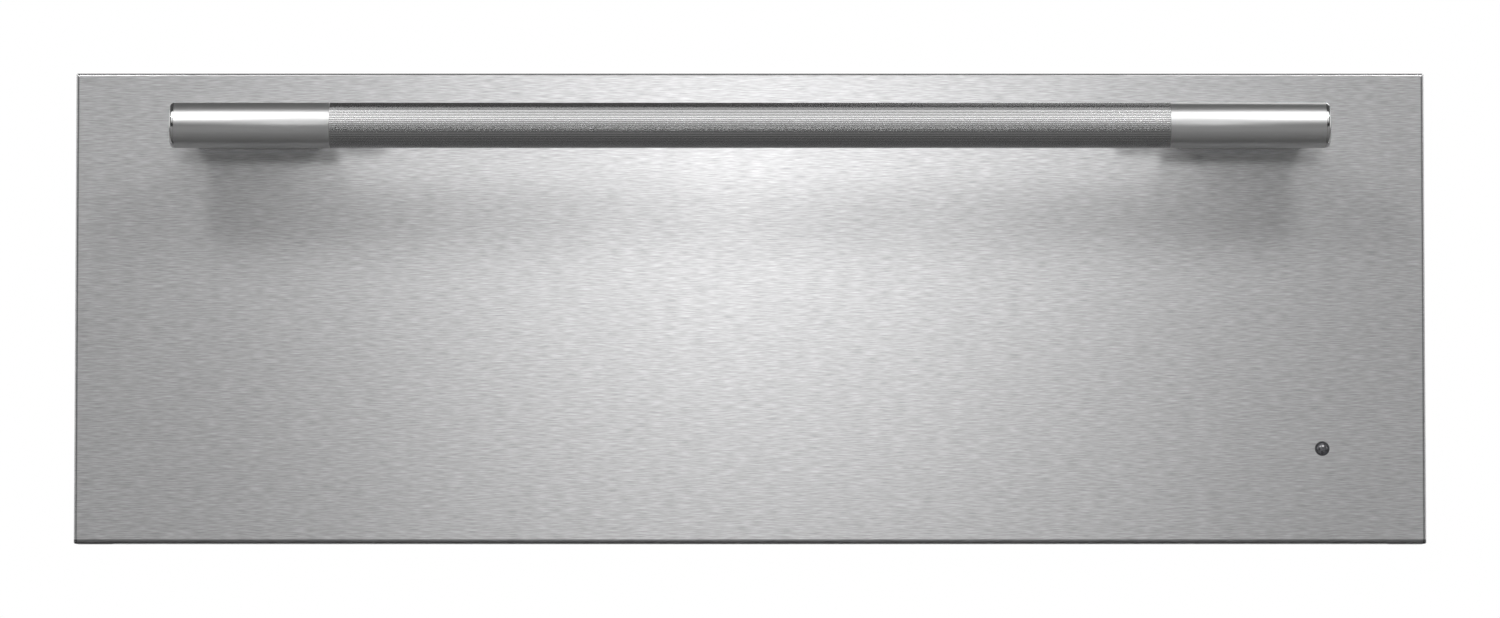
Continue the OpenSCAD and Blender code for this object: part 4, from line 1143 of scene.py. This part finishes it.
@dataclass
class FrontSkin:
    """The folded stainless skin: a face, four returns and lips for the inner panel's screws."""

    back_y: float = -8.2 * MM
    thickness: float = 1 * MM
    fold_radius: float = 1.6 * MM
    band: float = 1 * MM
    lip: float = 14 * MM
    mitre_gap: float = 0.5 * MM
    mitre_reach: float = 2.592 * MM
    lens_hole: float = 4.1 * MM
    screw_hole: float = 2.05 * MM
    drill: float = 3 * MM
    post_x: float = 274 * MM
    post_screw_x: float = 22 * MM

    def build(self) -> None:
        """Folds the skin from a box, opens its back and its mitres, and drills it."""
        part = Shaper.block("front_skin_folded", (-LAYOUT.half_width, LAYOUT.face_y, LAYOUT.low_z),
                            (LAYOUT.half_width, self.back_y, LAYOUT.high_z))
        part.pick(Part.EDGE, lambda place, way: near(place.y, LAYOUT.face_y))
        part.round(self.fold_radius, segments=8)
        # The band keeps the smooth shading of the fold away from the large face.
        part.pick(Part.FACE, facing(FRONT))
        part.inset(self.band)
        part.pick(Part.FACE, facing(BACK))
        part.inset(self.lip)
        bpy.ops.mesh.delete(type="FACE")
        part.pick_all()
        bpy.ops.mesh.normals_make_consistent(inside=False)
        part.modify("SOLIDIFY", thickness=self.thickness, offset=-1.0, use_even_offset=True)
        self.open_mitres(part)
        for x, z, radius in self.holes():
            ends = ((x, y, z) for y in (LAYOUT.face_y - self.drill, LAYOUT.face_y + self.drill))
            part.cut(Shaper.rod("drill", radius, *ends, sides=40))
        part.finish(Finishes.face, "drawer", "front_steel", ("front_skin",), recalculate=False)

    def open_mitres(self, part: Shaper) -> None:
        """Cuts the narrow gap that a folded sheet leaves at each corner of the skin.

        Args:
            part: the skin.
        """
        half = self.mitre_gap / 2
        for side in SIDES:
            x = side * LAYOUT.half_width
            for z, up in ((LAYOUT.low_z, -1), (LAYOUT.high_z, 1)):
                blade = Shaper.block("mitre_blade", (x - self.mitre_reach, LAYOUT.face_y - MM, z - half),
                                     (x + self.mitre_reach, self.back_y - self.thickness - MM, z + half))
                blade.pick_all()
                blade.turn(45.0 * side * up, "Y", (x, 0.0, z))
                part.cut(blade)

    def holes(self) -> list[tuple[float, float, float]]:
        """Place and radius of the holes for the lens and the handle's screws.

        Returns:
            Each hole's x, z and radius.
        """
        return [(LAYOUT.lens_x, LAYOUT.lens_z, self.lens_hole)] + [
            (side * self.post_x + end * self.post_screw_x, LAYOUT.bar_z, self.screw_hole)
            for side in SIDES for end in (-1, 1)]


@dataclass
class Turned:
    """Base of the pieces that are turned about an axis from the front to the back."""

    x: float
    z: float

    def at(self, y: float) -> Point:
        """A point on the axis."""
        return (self.x, y, self.z)

    def off_axis(self, place: Vector) -> float:
        """How far a point is from the axis."""
        return math.hypot(place.x - self.x, place.z - self.z)


@dataclass
class Indicator(Turned):
    """The indicator: a smoked dome in a dark turned bushing."""

    x: float = LAYOUT.lens_x
    z: float = LAYOUT.lens_z
    lens_radius: float = 3.1 * MM
    lens_fit: float = 0.05 * MM
    dome: float = 1.6 * MM
    dome_rings: int = 9
    guide_end: float = -6.2 * MM
    guide_rounding: float = 0.3 * MM
    ring_wall: float = 0.95 * MM
    ring_recess: float = 0.2 * MM
    ring_rounding: float = 0.22 * MM
    ring_back_y: float = -32.6 * MM
    flange: float = 1.8 * MM
    flange_y: float = -34.2 * MM

    def build(self) -> None:
        """Models the lens and its bushing."""
        self.lens()
        self.bushing()

    def lens(self) -> None:
        """A rod whose front end swells into a dome, with a flat seat at the back."""
        part = Shaper.rod("indicator_lens_dome", self.lens_radius, self.at(LAYOUT.face_y),
                          self.at(self.guide_end))
        part.pick(Part.FACE, facing(FRONT))
        crown = (self.lens_radius ** 2 + self.dome ** 2) / (2 * self.dome)
        before_radius, before_rise = self.lens_radius, 0.0
        for ring in range(1, self.dome_rings + 1):
            radius = self.lens_radius * math.cos(ring / (self.dome_rings + 1) * math.pi / 2)
            rise = math.sqrt(crown ** 2 - radius ** 2) - (crown - self.dome)
            part.inset(before_radius - radius)
            part.move((0.0, before_rise - rise, 0.0))
            before_radius, before_rise = radius, rise
        part.pick(Part.EDGE, lambda place, way: near(place.y, self.guide_end))
        part.round(self.guide_rounding)
        part.finish(Finishes.lens, "drawer", "lens", ("indicator_lens",), sharp=50.0)

    def bushing(self) -> None:
        """A ring with a softened lip in front and a flange behind the skin."""
        outer = self.lens_radius + self.ring_wall
        front_y = LAYOUT.face_y + self.ring_recess
        part = Shaper.ring("lens_bushing", outer, self.at(front_y), (0, -1, 0))
        part.extrude_edges((0.0, self.flange_y - front_y, 0.0))
        wider = (outer + self.flange) / outer
        part.extrude_edges()
        part.resize((wider, 1.0, wider), self.at(self.flange_y))
        part.extrude_edges((0.0, self.ring_back_y - self.flange_y, 0.0))
        part.extrude_edges()
        bore = (self.lens_radius + self.lens_fit) / (outer + self.flange)
        part.resize((bore, 1.0, bore), self.at(self.ring_back_y))
        part.extrude_edges((0.0, front_y - self.ring_back_y, 0.0))
        part.pick(Part.EDGE, lambda place, way: near(place.y, front_y))
        bpy.ops.mesh.bridge_edge_loops()
        part.pick(Part.EDGE, lambda place, way: near(place.y, front_y)
                  and self.along_ring(place, way) > ALONG)
        part.round(self.ring_rounding)
        part.finish(Finishes.black, "drawer", "black_moulding", ("lens_bezel",))

    def along_ring(self, place: Vector, way: Vector) -> float:
        """How closely an edge runs round the axis, from 0 to 1."""
        return Vector((place.x - self.x, 0.0, place.z - self.z)).normalized().cross(way).length


@dataclass
class Gasket:
    """The silicone seal: a hollow bulb on a foot, right round the opening."""

    half_width: float = 308 * MM
    low_z: float = 31.7 * MM
    high_z: float = 212.3 * MM
    panel_y: float = -7.2 * MM
    bulb: float = 2.85 * MM
    foot_width: float = 8 * MM
    foot: float = 1.5 * MM
    corner: float = 12 * MM

    def build(self) -> None:
        """Draws a bulb and its foot round the opening, side by side."""
        centre_y = self.panel_y + self.bulb
        x, low, high = self.half_width - self.corner, self.low_z + self.corner, self.high_z - self.corner
        part = Shaper.ring("front_seal", self.bulb, (-x, centre_y, self.low_z), (1, 0, 0), sides=24)
        foot_at = (-x, self.panel_y + self.foot / 2, self.low_z)
        bpy.ops.mesh.primitive_circle_add(vertices=4, radius=self.foot_width / 2, location=foot_at,
                                          rotation=(0.0, math.radians(90.0), 0.0))
        part.turn(45.0, "X", foot_at)
        spread = self.foot_width / 2 * math.sqrt(2.0)
        part.resize((1.0, self.foot / spread, self.foot_width / spread), foot_at)
        part.pick_all()
        for across, up, turn_x, turn_z in ((2 * x, 0.0, x, low), (0.0, high - low, x, high),
                                           (-2 * x, 0.0, -x, high), (0.0, low - high, -x, low)):
            part.extrude_edges((across, 0.0, up))
            bpy.ops.mesh.spin(steps=8, angle=math.radians(90.0), center=(turn_x, centre_y, turn_z),
                              axis=(0.0, 1.0, 0.0))
        part.finish(Finishes.seal, "drawer", "gasket", ("front_gasket",), sharp=50.0)


# Controls


@dataclass
class ControlKnob(Turned):
    """The thermostat's knob: a skirt, a scalloped grip with soft edges and an inlaid pointer."""

    x: float = LAYOUT.knob_x
    z: float = LAYOUT.knob_z
    back_y: float = -3.7 * MM
    height: float = 17 * MM
    skirt_radius: float = 17 * MM
    skirt_height: float = 4 * MM
    skirt_rounding: float = 1.1 * MM
    grip_radius: float = 11 * MM
    collar: float = 0.6 * MM
    scallops: int = 10
    scallop_radius: float = 3 * MM
    scallop_out: float = 2.1 * MM
    points_per_scallop: int = 16
    bore: float = 3.1 * MM
    face_web: float = 3 * MM
    pointer_width: float = 1.6 * MM
    pointer_depth: float = 1.2 * MM
    pointer_start: float = 3 * MM
    pointer_end: float = 9.4 * MM
    pointer_rounding: float = 0.2 * MM
    pointer_fit: float = 0.05 * MM
    edge: float = 0.7 * MM

    def build(self) -> None:
        """Models the knob and its inlay."""
        self.knob()
        self.inlay()

    def scallop_share(self, step: int) -> float:
        """How far the grip lies in at one point of a scallop.

        Args:
            step: the point's number, from 0 in the middle of a scallop.

        Returns:
            The factor on its radius.
        """
        count = self.points_per_scallop
        angle = min(step, count - step) * math.tau / self.scallops / count
        centre = self.grip_radius + self.scallop_out
        across = centre * math.sin(angle)
        if across >= self.scallop_radius:
            return 1.0
        reach = centre * math.cos(angle) - math.sqrt(self.scallop_radius ** 2 - across ** 2)
        return min(1.0, reach / self.grip_radius)

    def knob(self) -> None:
        """A disc drawn up into a skirt, a collar and a grip that is pulled in at each scallop."""
        skirt_y = self.back_y - self.skirt_height
        collar_y = skirt_y - self.collar
        face_y = self.back_y - self.height
        sides = self.scallops * self.points_per_scallop
        part = Shaper.rod("control_knob_turned", self.skirt_radius, self.at(self.back_y),
                          self.at(skirt_y), sides=sides)
        part.pick(Part.FACE, facing(FRONT))
        part.inset(self.skirt_radius - self.grip_radius)
        for rise in (self.collar, 0.0, collar_y - face_y):
            part.extrude((0.0, -rise, 0.0))
        for step in (*range(1, self.points_per_scallop), 0):
            self.pull_in(part, step, face_y, collar_y)
        part.pick(Part.EDGE, lambda place, way: near(place.y, face_y))
        part.round(self.edge)
        part.pick(Part.EDGE, lambda place, way: near(place.y, skirt_y)
                  and self.off_axis(place) > self.skirt_radius * RIM)
        part.round(self.skirt_rounding, segments=4)
        part.pick(Part.FACE, facing(BACK, self.at(self.back_y)))
        part.inset(self.skirt_radius - self.bore)
        part.extrude((0.0, self.face_web - self.height, 0.0))
        half = self.pointer_width / 2
        part.cut(Shaper.block(
            "groove_cutter", (self.x - half, face_y - MM, self.z + self.pointer_start),
            (self.x + half, face_y + self.pointer_depth, self.z + 2 * self.grip_radius)))
        part.finish(Finishes.knob, "knob", "knob", ("control_knob",), sharp=32.0)

    def pull_in(self, part: Shaper, step: int, face_y: float, collar_y: float) -> None:
        """Moves one point of every scallop towards the axis, on the face and on the upper collar ring.

        Args:
            part: the knob.
            step: the point's number in its scallop.
            face_y: where the face lies.
            collar_y: where the scallops begin.
        """
        share = self.scallop_share(step)
        if share >= 1.0:
            return
        turn = math.tau / self.scallops / self.points_per_scallop
        seen: set[int] = set()

        def test(place: Vector, _: Vector) -> bool:
            """Leaves each place on the collar once, so that its lower ring stays round.

            Args:
                place: the point.
                _: its normal, which doesn't matter.

            Returns:
                Whether the point is moved.
            """
            number = round(math.atan2(place.z - self.z, place.x - self.x) / turn)
            if number % self.points_per_scallop != step:
                return False
            if near(place.y, face_y):
                return True
            if not near(place.y, collar_y):
                return False
            first = number not in seen
            seen.add(number)
            return not first

        part.pick(Part.VERT, test)
        part.resize((share, 1.0, share), self.at(face_y))

    def inlay(self) -> None:
        """The light pointer in its groove, with softened long edges."""
        face_y = self.back_y - self.height
        half = self.pointer_width / 2 - self.pointer_fit
        part = Shaper.block("knob_pointer_inlay",
                            (self.x - half, face_y, self.z + self.pointer_start + self.pointer_fit),
                            (self.x + half, face_y + self.pointer_depth - self.pointer_fit,
                             self.z + self.pointer_end))
        part.pick(Part.EDGE, lambda place, way: near(place.y, face_y))
        part.round(self.pointer_rounding)
        part.finish(Finishes.inlay, "knob", "pointer", ("knob_pointer",))


@dataclass
class Fascia:
    """The control plate beside the opening, with its printed scale."""

    low: Pair = (315.2 * MM, 28 * MM)
    high: Pair = (357.25 * MM, 208 * MM)
    front_y: float = -2.7 * MM
    back_y: float = -1.2 * MM
    corner: float = 4 * MM
    edge: float = 0.35 * MM
    knob_at: Pair = (LAYOUT.knob_x, LAYOUT.knob_z)
    knob_hole: float = 5.05 * MM
    lamp_at: Pair = (LAYOUT.lens_x, LAYOUT.lens_z)
    lamp_hole: float = 2.45 * MM
    drill: float = 1 * MM
    sweep: float = 285.0
    ticks: int = 11
    tick_radius: float = 19.2 * MM
    tick_length: float = 1.6 * MM
    end_tick_length: float = 2.6 * MM
    tick_half: float = 0.3 * MM
    tick_rounding: float = 0.25 * MM
    ink: float = 0.06 * MM
    letter: float = 4.2 * MM
    word_step: float = 12.5 * MM
    word_rise: float = 24 * MM
    lamp_word: Pair = (8.5 * MM, -1.5 * MM)

    def build(self) -> None:
        """Models the plate and prints its marks."""
        self.plate()
        for number in range(self.ticks):
            self.tick(number)
        for place, words in enumerate(("HI", "OFF", "LO"), -1):
            self.word(words, self.knob_at[0] + place * self.word_step, self.knob_at[1] + self.word_rise)
        self.word("ON", self.lamp_at[0] + self.lamp_word[0], self.lamp_at[1] + self.lamp_word[1])

    def plate(self) -> None:
        """A plate with round corners and softened edges, bored for the shaft and the lamp."""
        part = Shaper.block("control_fascia_plate", (self.low[0], self.front_y, self.low[1]),
                            (self.high[0], self.back_y, self.high[1]))
        part.pick(Part.EDGE, lambda place, way: abs(way.y) > ALONG)
        part.round(self.corner, segments=8)
        part.pick(Part.EDGE, lambda place, way: near(place.y, self.front_y))
        part.round(self.edge)
        for (x, z), radius in ((self.knob_at, self.knob_hole), (self.lamp_at, self.lamp_hole)):
            ends = ((x, y, z) for y in (self.front_y - self.drill, self.back_y + self.drill))
            part.cut(Shaper.rod("drill", radius, *ends, sides=48))
        part.finish(Finishes.black, "case", "black_moulding", ("control_fascia",))

    def tick(self, number: int) -> None:
        """One printed mark of the scale, longer at both ends of the knob's travel.

        Args:
            number: its place, from 0 at off.
        """
        last = self.ticks - 1
        half = (self.end_tick_length if number in (0, last) else self.tick_length) / 2
        x, z = self.knob_at
        part = Shaper.block(
            f"scale_tick_{number:02d}",
            (x + self.tick_radius - half, self.front_y - self.ink, z - self.tick_half),
            (x + self.tick_radius + half, self.front_y, z + self.tick_half))
        part.pick_all()
        part.turn(90.0 - self.sweep * number / last, "Y", (x, self.front_y, z))
        part.pick(Part.EDGE, lambda place, way: abs(way.y) > ALONG)
        part.round(self.tick_rounding)
        part.finish(Finishes.inlay, "case", "pointer")

    def word(self, words: str, x: float, z: float) -> None:
        """A printed word, as a thin solid on the plate.

        Args:
            words: what it says.
            x: its middle.
            z: its foot.
        """
        Shaper.clear()
        bpy.ops.object.text_add(location=(x, self.front_y - self.ink / 2, z),
                                rotation=(math.radians(90.0), 0.0, 0.0))
        label = bpy.context.active_object
        label.data.body = words
        label.data.size = self.letter
        label.data.align_x = "CENTER"
        label.data.extrude = self.ink / 2
        bpy.ops.object.convert(target="MESH")
        Shaper(f"print_{words.lower()}").finish(Finishes.inlay, "case", "pointer")


# Studio


class Ray(Enum):
    """The kinds of ray that a reflection card is hidden from."""

    CAMERA = "visible_camera"
    DIFFUSE = "visible_diffuse"
    TRANSMISSION = "visible_transmission"
    SHADOW = "visible_shadow"


@dataclass(frozen=True)
class Lamp:
    """A soft rectangular lamp: its place, the point that it faces, its size and its watts."""

    name: str
    place: Point
    aim: Point
    size: Pair
    power: float

    def build(self) -> None:
        """Hangs the lamp."""
        data = bpy.data.lights.new(self.name, "AREA")
        data.shape = "RECTANGLE"
        data.size, data.size_y = self.size
        data.energy = self.power
        lamp = bpy.data.objects.new(self.name, data)
        lamp.location = self.place
        way = Vector(self.aim) - Vector(self.place)
        lamp.rotation_euler = way.to_track_quat("-Z", "Y").to_euler()
        bpy.context.scene.collection.objects.link(lamp)


@dataclass(frozen=True)
class Card:
    """A grey card that only reflections see, tipped up by one angle and turned by another."""

    name: str
    place: Point
    angles: Pair
    size: Pair
    grey: float = 0.0

    def build(self) -> None:
        """Places the card and hides it from all rays but reflections."""
        Shaper.clear()
        tip, spin = (math.radians(angle) for angle in self.angles)
        bpy.ops.mesh.primitive_plane_add(size=1.0, location=self.place, rotation=(tip, 0.0, spin))
        card = bpy.context.active_object
        card.name = self.name
        card.scale = (*self.size, 1.0)
        card.data.materials.append(new_material(self.name, self.surface))
        for ray in Ray:
            setattr(card, ray.value, False)

    def surface(self, graph: Graph) -> Socket:
        """A glow that is as bright as the card's grey.

        Args:
            graph: the card's graph.

        Returns:
            The shader's output.
        """
        bright = self.glow(graph)
        grey = graph.add("CombineXYZ", None, X=bright, Y=bright, Z=bright).outputs[0]
        return graph.add("Emission", None, Color=grey, Strength=1.0).outputs[0]

    def glow(self, graph: Graph) -> object:
        """The card's brightness, as a number or as a socket."""
        return self.grey


@dataclass(frozen=True)
class Wall(Card):
    """The wall behind the camera: a bright column in its middle, over grey that rises with height."""

    column: float = 8.0
    column_width: float = 0.052
    foot: Pair = (-0.175, -0.125)
    head: Pair = (-0.12, -0.03)
    rise: Pair = (-0.11, 0.26)
    grey_range: Pair = (0.02, 1.3)

    def glow(self, graph: Graph) -> Socket:
        """The wall's brightness.

        Args:
            graph: the card's graph.

        Returns:
            The brightness.
        """
        place = graph.axes(graph.place())
        ends = graph.math("MULTIPLY", graph.ramp(place["Y"], *self.foot),
                          graph.ramp(place["Y"], *self.head, 1.0, 0.0))
        column = graph.math("MULTIPLY", graph.bell(place["X"], self.column_width), ends)
        rise = graph.ramp(place["Y"], *self.rise, *self.grey_range)
        return graph.math("ADD", rise, graph.math("MULTIPLY", column, self.column))


@dataclass(frozen=True)
class Apron(Card):
    """The floor before the drawer as metal sees it, with painted shade: dark close by and lighter further
    off.
    """

    pale: float = 0.42
    dark: float = 0.38
    fade: float = 9.0
    far: Pair = (0.2, -0.1)
    far_dark: float = 0.12

    def glow(self, graph: Graph) -> Socket:
        """The floor's brightness.

        Args:
            graph: the card's graph.

        Returns:
            The brightness.
        """
        y = graph.axes(graph.place())["Y"]
        # Painted shade: the glow is darkest close to the drawer.
        away = graph.ramp(y, CARD_EDGE, -CARD_EDGE, 0.0, self.fade)
        shade = graph.math("EXPONENT", graph.math("MULTIPLY", away, -1.0))
        close = graph.math("SUBTRACT", self.pale, graph.math("MULTIPLY", shade, self.dark))
        return graph.math("MULTIPLY", close, graph.ramp(y, *self.far, 1.0, self.far_dark))


LAMPS = (
    Lamp("overhead_softbox", place=(0.0, -1.5, 2.2), aim=(0.0, 0.0, 0.2), size=(2.8, 1.25), power=13.0),
    Lamp("left_key", place=(-0.9, -1.55, 1.65), aim=(-0.2, 0.0, 0.15), size=(0.5, 0.5), power=21.5),
    Lamp("right_key", place=(0.9, -1.55, 1.65), aim=(0.2, 0.0, 0.15), size=(0.5, 0.5), power=21.5),
    Lamp("back_fill", place=(0.9, 2.6, 1.9), aim=(0.0, 0.3, 0.1), size=(1.6, 1.2), power=9.0),
)
CARDS = (
    Wall("front_wall", place=(0.0, -3.9, 1.0), angles=(90.0, 0.0), size=(8.0, 4.0)),
    Apron("floor_glow", place=(0.0, -1.95, -0.085), angles=(0.0, 0.0), size=(6.0, 3.9)),
    Card("ceiling_flag", place=(0.0, 3.5, 3.0), angles=(0.0, 0.0), size=(8.0, 8.9), grey=0.1),
    Card("stand_shade", place=(0.0, 0.001, -0.05), angles=(90.0, 0.0), size=(0.8, 0.07), grey=0.04),
    Card("left_flag", place=(-3.0, -2.2, 1.2), angles=(90.0, -90.0), size=(2.4, 3.6), grey=0.12),
    Card("right_flag", place=(3.0, -2.2, 1.2), angles=(90.0, 90.0), size=(2.4, 3.6), grey=0.12),
)


@dataclass
class Studio:
    """A pale stand and floor, a white background, soft lamps and the cards that metal reflects."""

    floor_half: float = 5.0
    stand_half: float = 0.36
    stand_depth: float = 0.66
    stand_front: float = 0.004
    stand_height: float = 0.09
    stand_rounding: float = 0.002
    world_light: float = 0.08
    matt: Colour = (0.8, 0.8, 0.8)
    upright_normal_y: float = -0.5

    def build(self) -> None:
        """Makes the whole studio."""
        self.world()
        self.stand()
        self.floor()
        for item in (*LAMPS, *CARDS):
            item.build()

    def world(self) -> None:
        """A white world for the camera, metal and glass, and a plain soft one for the light itself."""
        world = bpy.data.worlds.new("studio_world")
        bpy.context.scene.world = world
        graph = Graph.fresh(world)
        strength = graph.ramp(graph.seen(), 0.0, 1.0, self.world_light, 1.0)
        graph.close("World", graph.add("Background", None, Color=WHITE, Strength=strength).outputs[0])

    def paint(self, graph: Graph) -> Socket:
        """Matt white paint, whose upright front reads as white to the camera, metal and glass.

        Args:
            graph: the material's graph.

        Returns:
            The shader's output.
        """
        matt = graph.add("BsdfDiffuse", None, Color=self.matt)
        white = graph.add("Emission", None, Color=WHITE, Strength=1.0)
        normal = graph.axes(graph.add("NewGeometry").outputs["Normal"])
        upright = graph.math("LESS_THAN", normal["Y"], self.upright_normal_y)
        blend = graph.add("MixShader", None, Fac=graph.math("MULTIPLY", graph.seen(), upright))
        graph.put(blend.inputs[1], matt.outputs[0])
        graph.put(blend.inputs[2], white.outputs[0])
        return blend.outputs[0]

    def stand(self) -> None:
        """A block under the case, like the floor of a cut-out, whose edge the front hangs over."""
        part = Shaper.block("studio_stand", (-self.stand_half, self.stand_front, -self.stand_height),
                            (self.stand_half, self.stand_front + self.stand_depth, 0.0))
        part.pick(Part.EDGE, lambda place, way: near(place.z, 0.0))
        part.round(self.stand_rounding)
        bpy.ops.object.mode_set(mode="OBJECT")
        part.obj.data.materials.append(new_material("studio_paint", self.paint))

    def floor(self) -> None:
        """A wide pale floor under the stand."""
        Shaper.clear()
        bpy.ops.mesh.primitive_plane_add(size=2 * self.floor_half,
                                         location=(0.0, 0.0, -self.stand_height))
        plane = bpy.context.active_object
        plane.name = "studio_floor"
        plane.data.materials.append(new_material("studio_paint", self.paint))


@dataclass
class PhotoCamera:
    """The photograph's camera: square on, a little below the front and looking slightly up."""

    distance: float = 3.4828
    elevation: float = -3.19
    lens: float = 149.37
    sensor: float = 36.0
    nearest: float = 0.05
    furthest: float = 60.0
    middle_z: float = 0.12015

    def build(self) -> None:
        """Places the camera and makes it the scene's."""
        data = bpy.data.cameras.new("photo_camera")
        data.lens = self.lens
        data.sensor_width = self.sensor
        data.sensor_fit = "HORIZONTAL"
        data.clip_start = self.nearest
        data.clip_end = self.furthest
        camera = bpy.data.objects.new("photo_camera", data)
        angle = math.radians(self.elevation)
        camera.location = (0.0, LAYOUT.face_y - self.distance * math.cos(angle),
                           self.middle_z + self.distance * math.sin(angle))
        camera.rotation_euler = (math.radians(90.0) - angle, 0.0, 0.0)
        bpy.context.scene.collection.objects.link(camera)
        bpy.context.scene.camera = camera


def main() -> None:
    """Loads the frame, dresses it and sets the scene."""
    logging.basicConfig(level=logging.INFO, format="%(name)s: %(message)s")
    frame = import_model()
    PhotoCamera().build()
    dress_nodes(frame["nodes"])
    for piece in (FrontSkin(), Handle(), Indicator(), Gasket(), ControlKnob(), Fascia()):
        piece.build()
    Studio().build()
    scene = bpy.context.scene
    scene.view_settings.view_transform = "Standard"


if __name__ == "__main__":
    main()
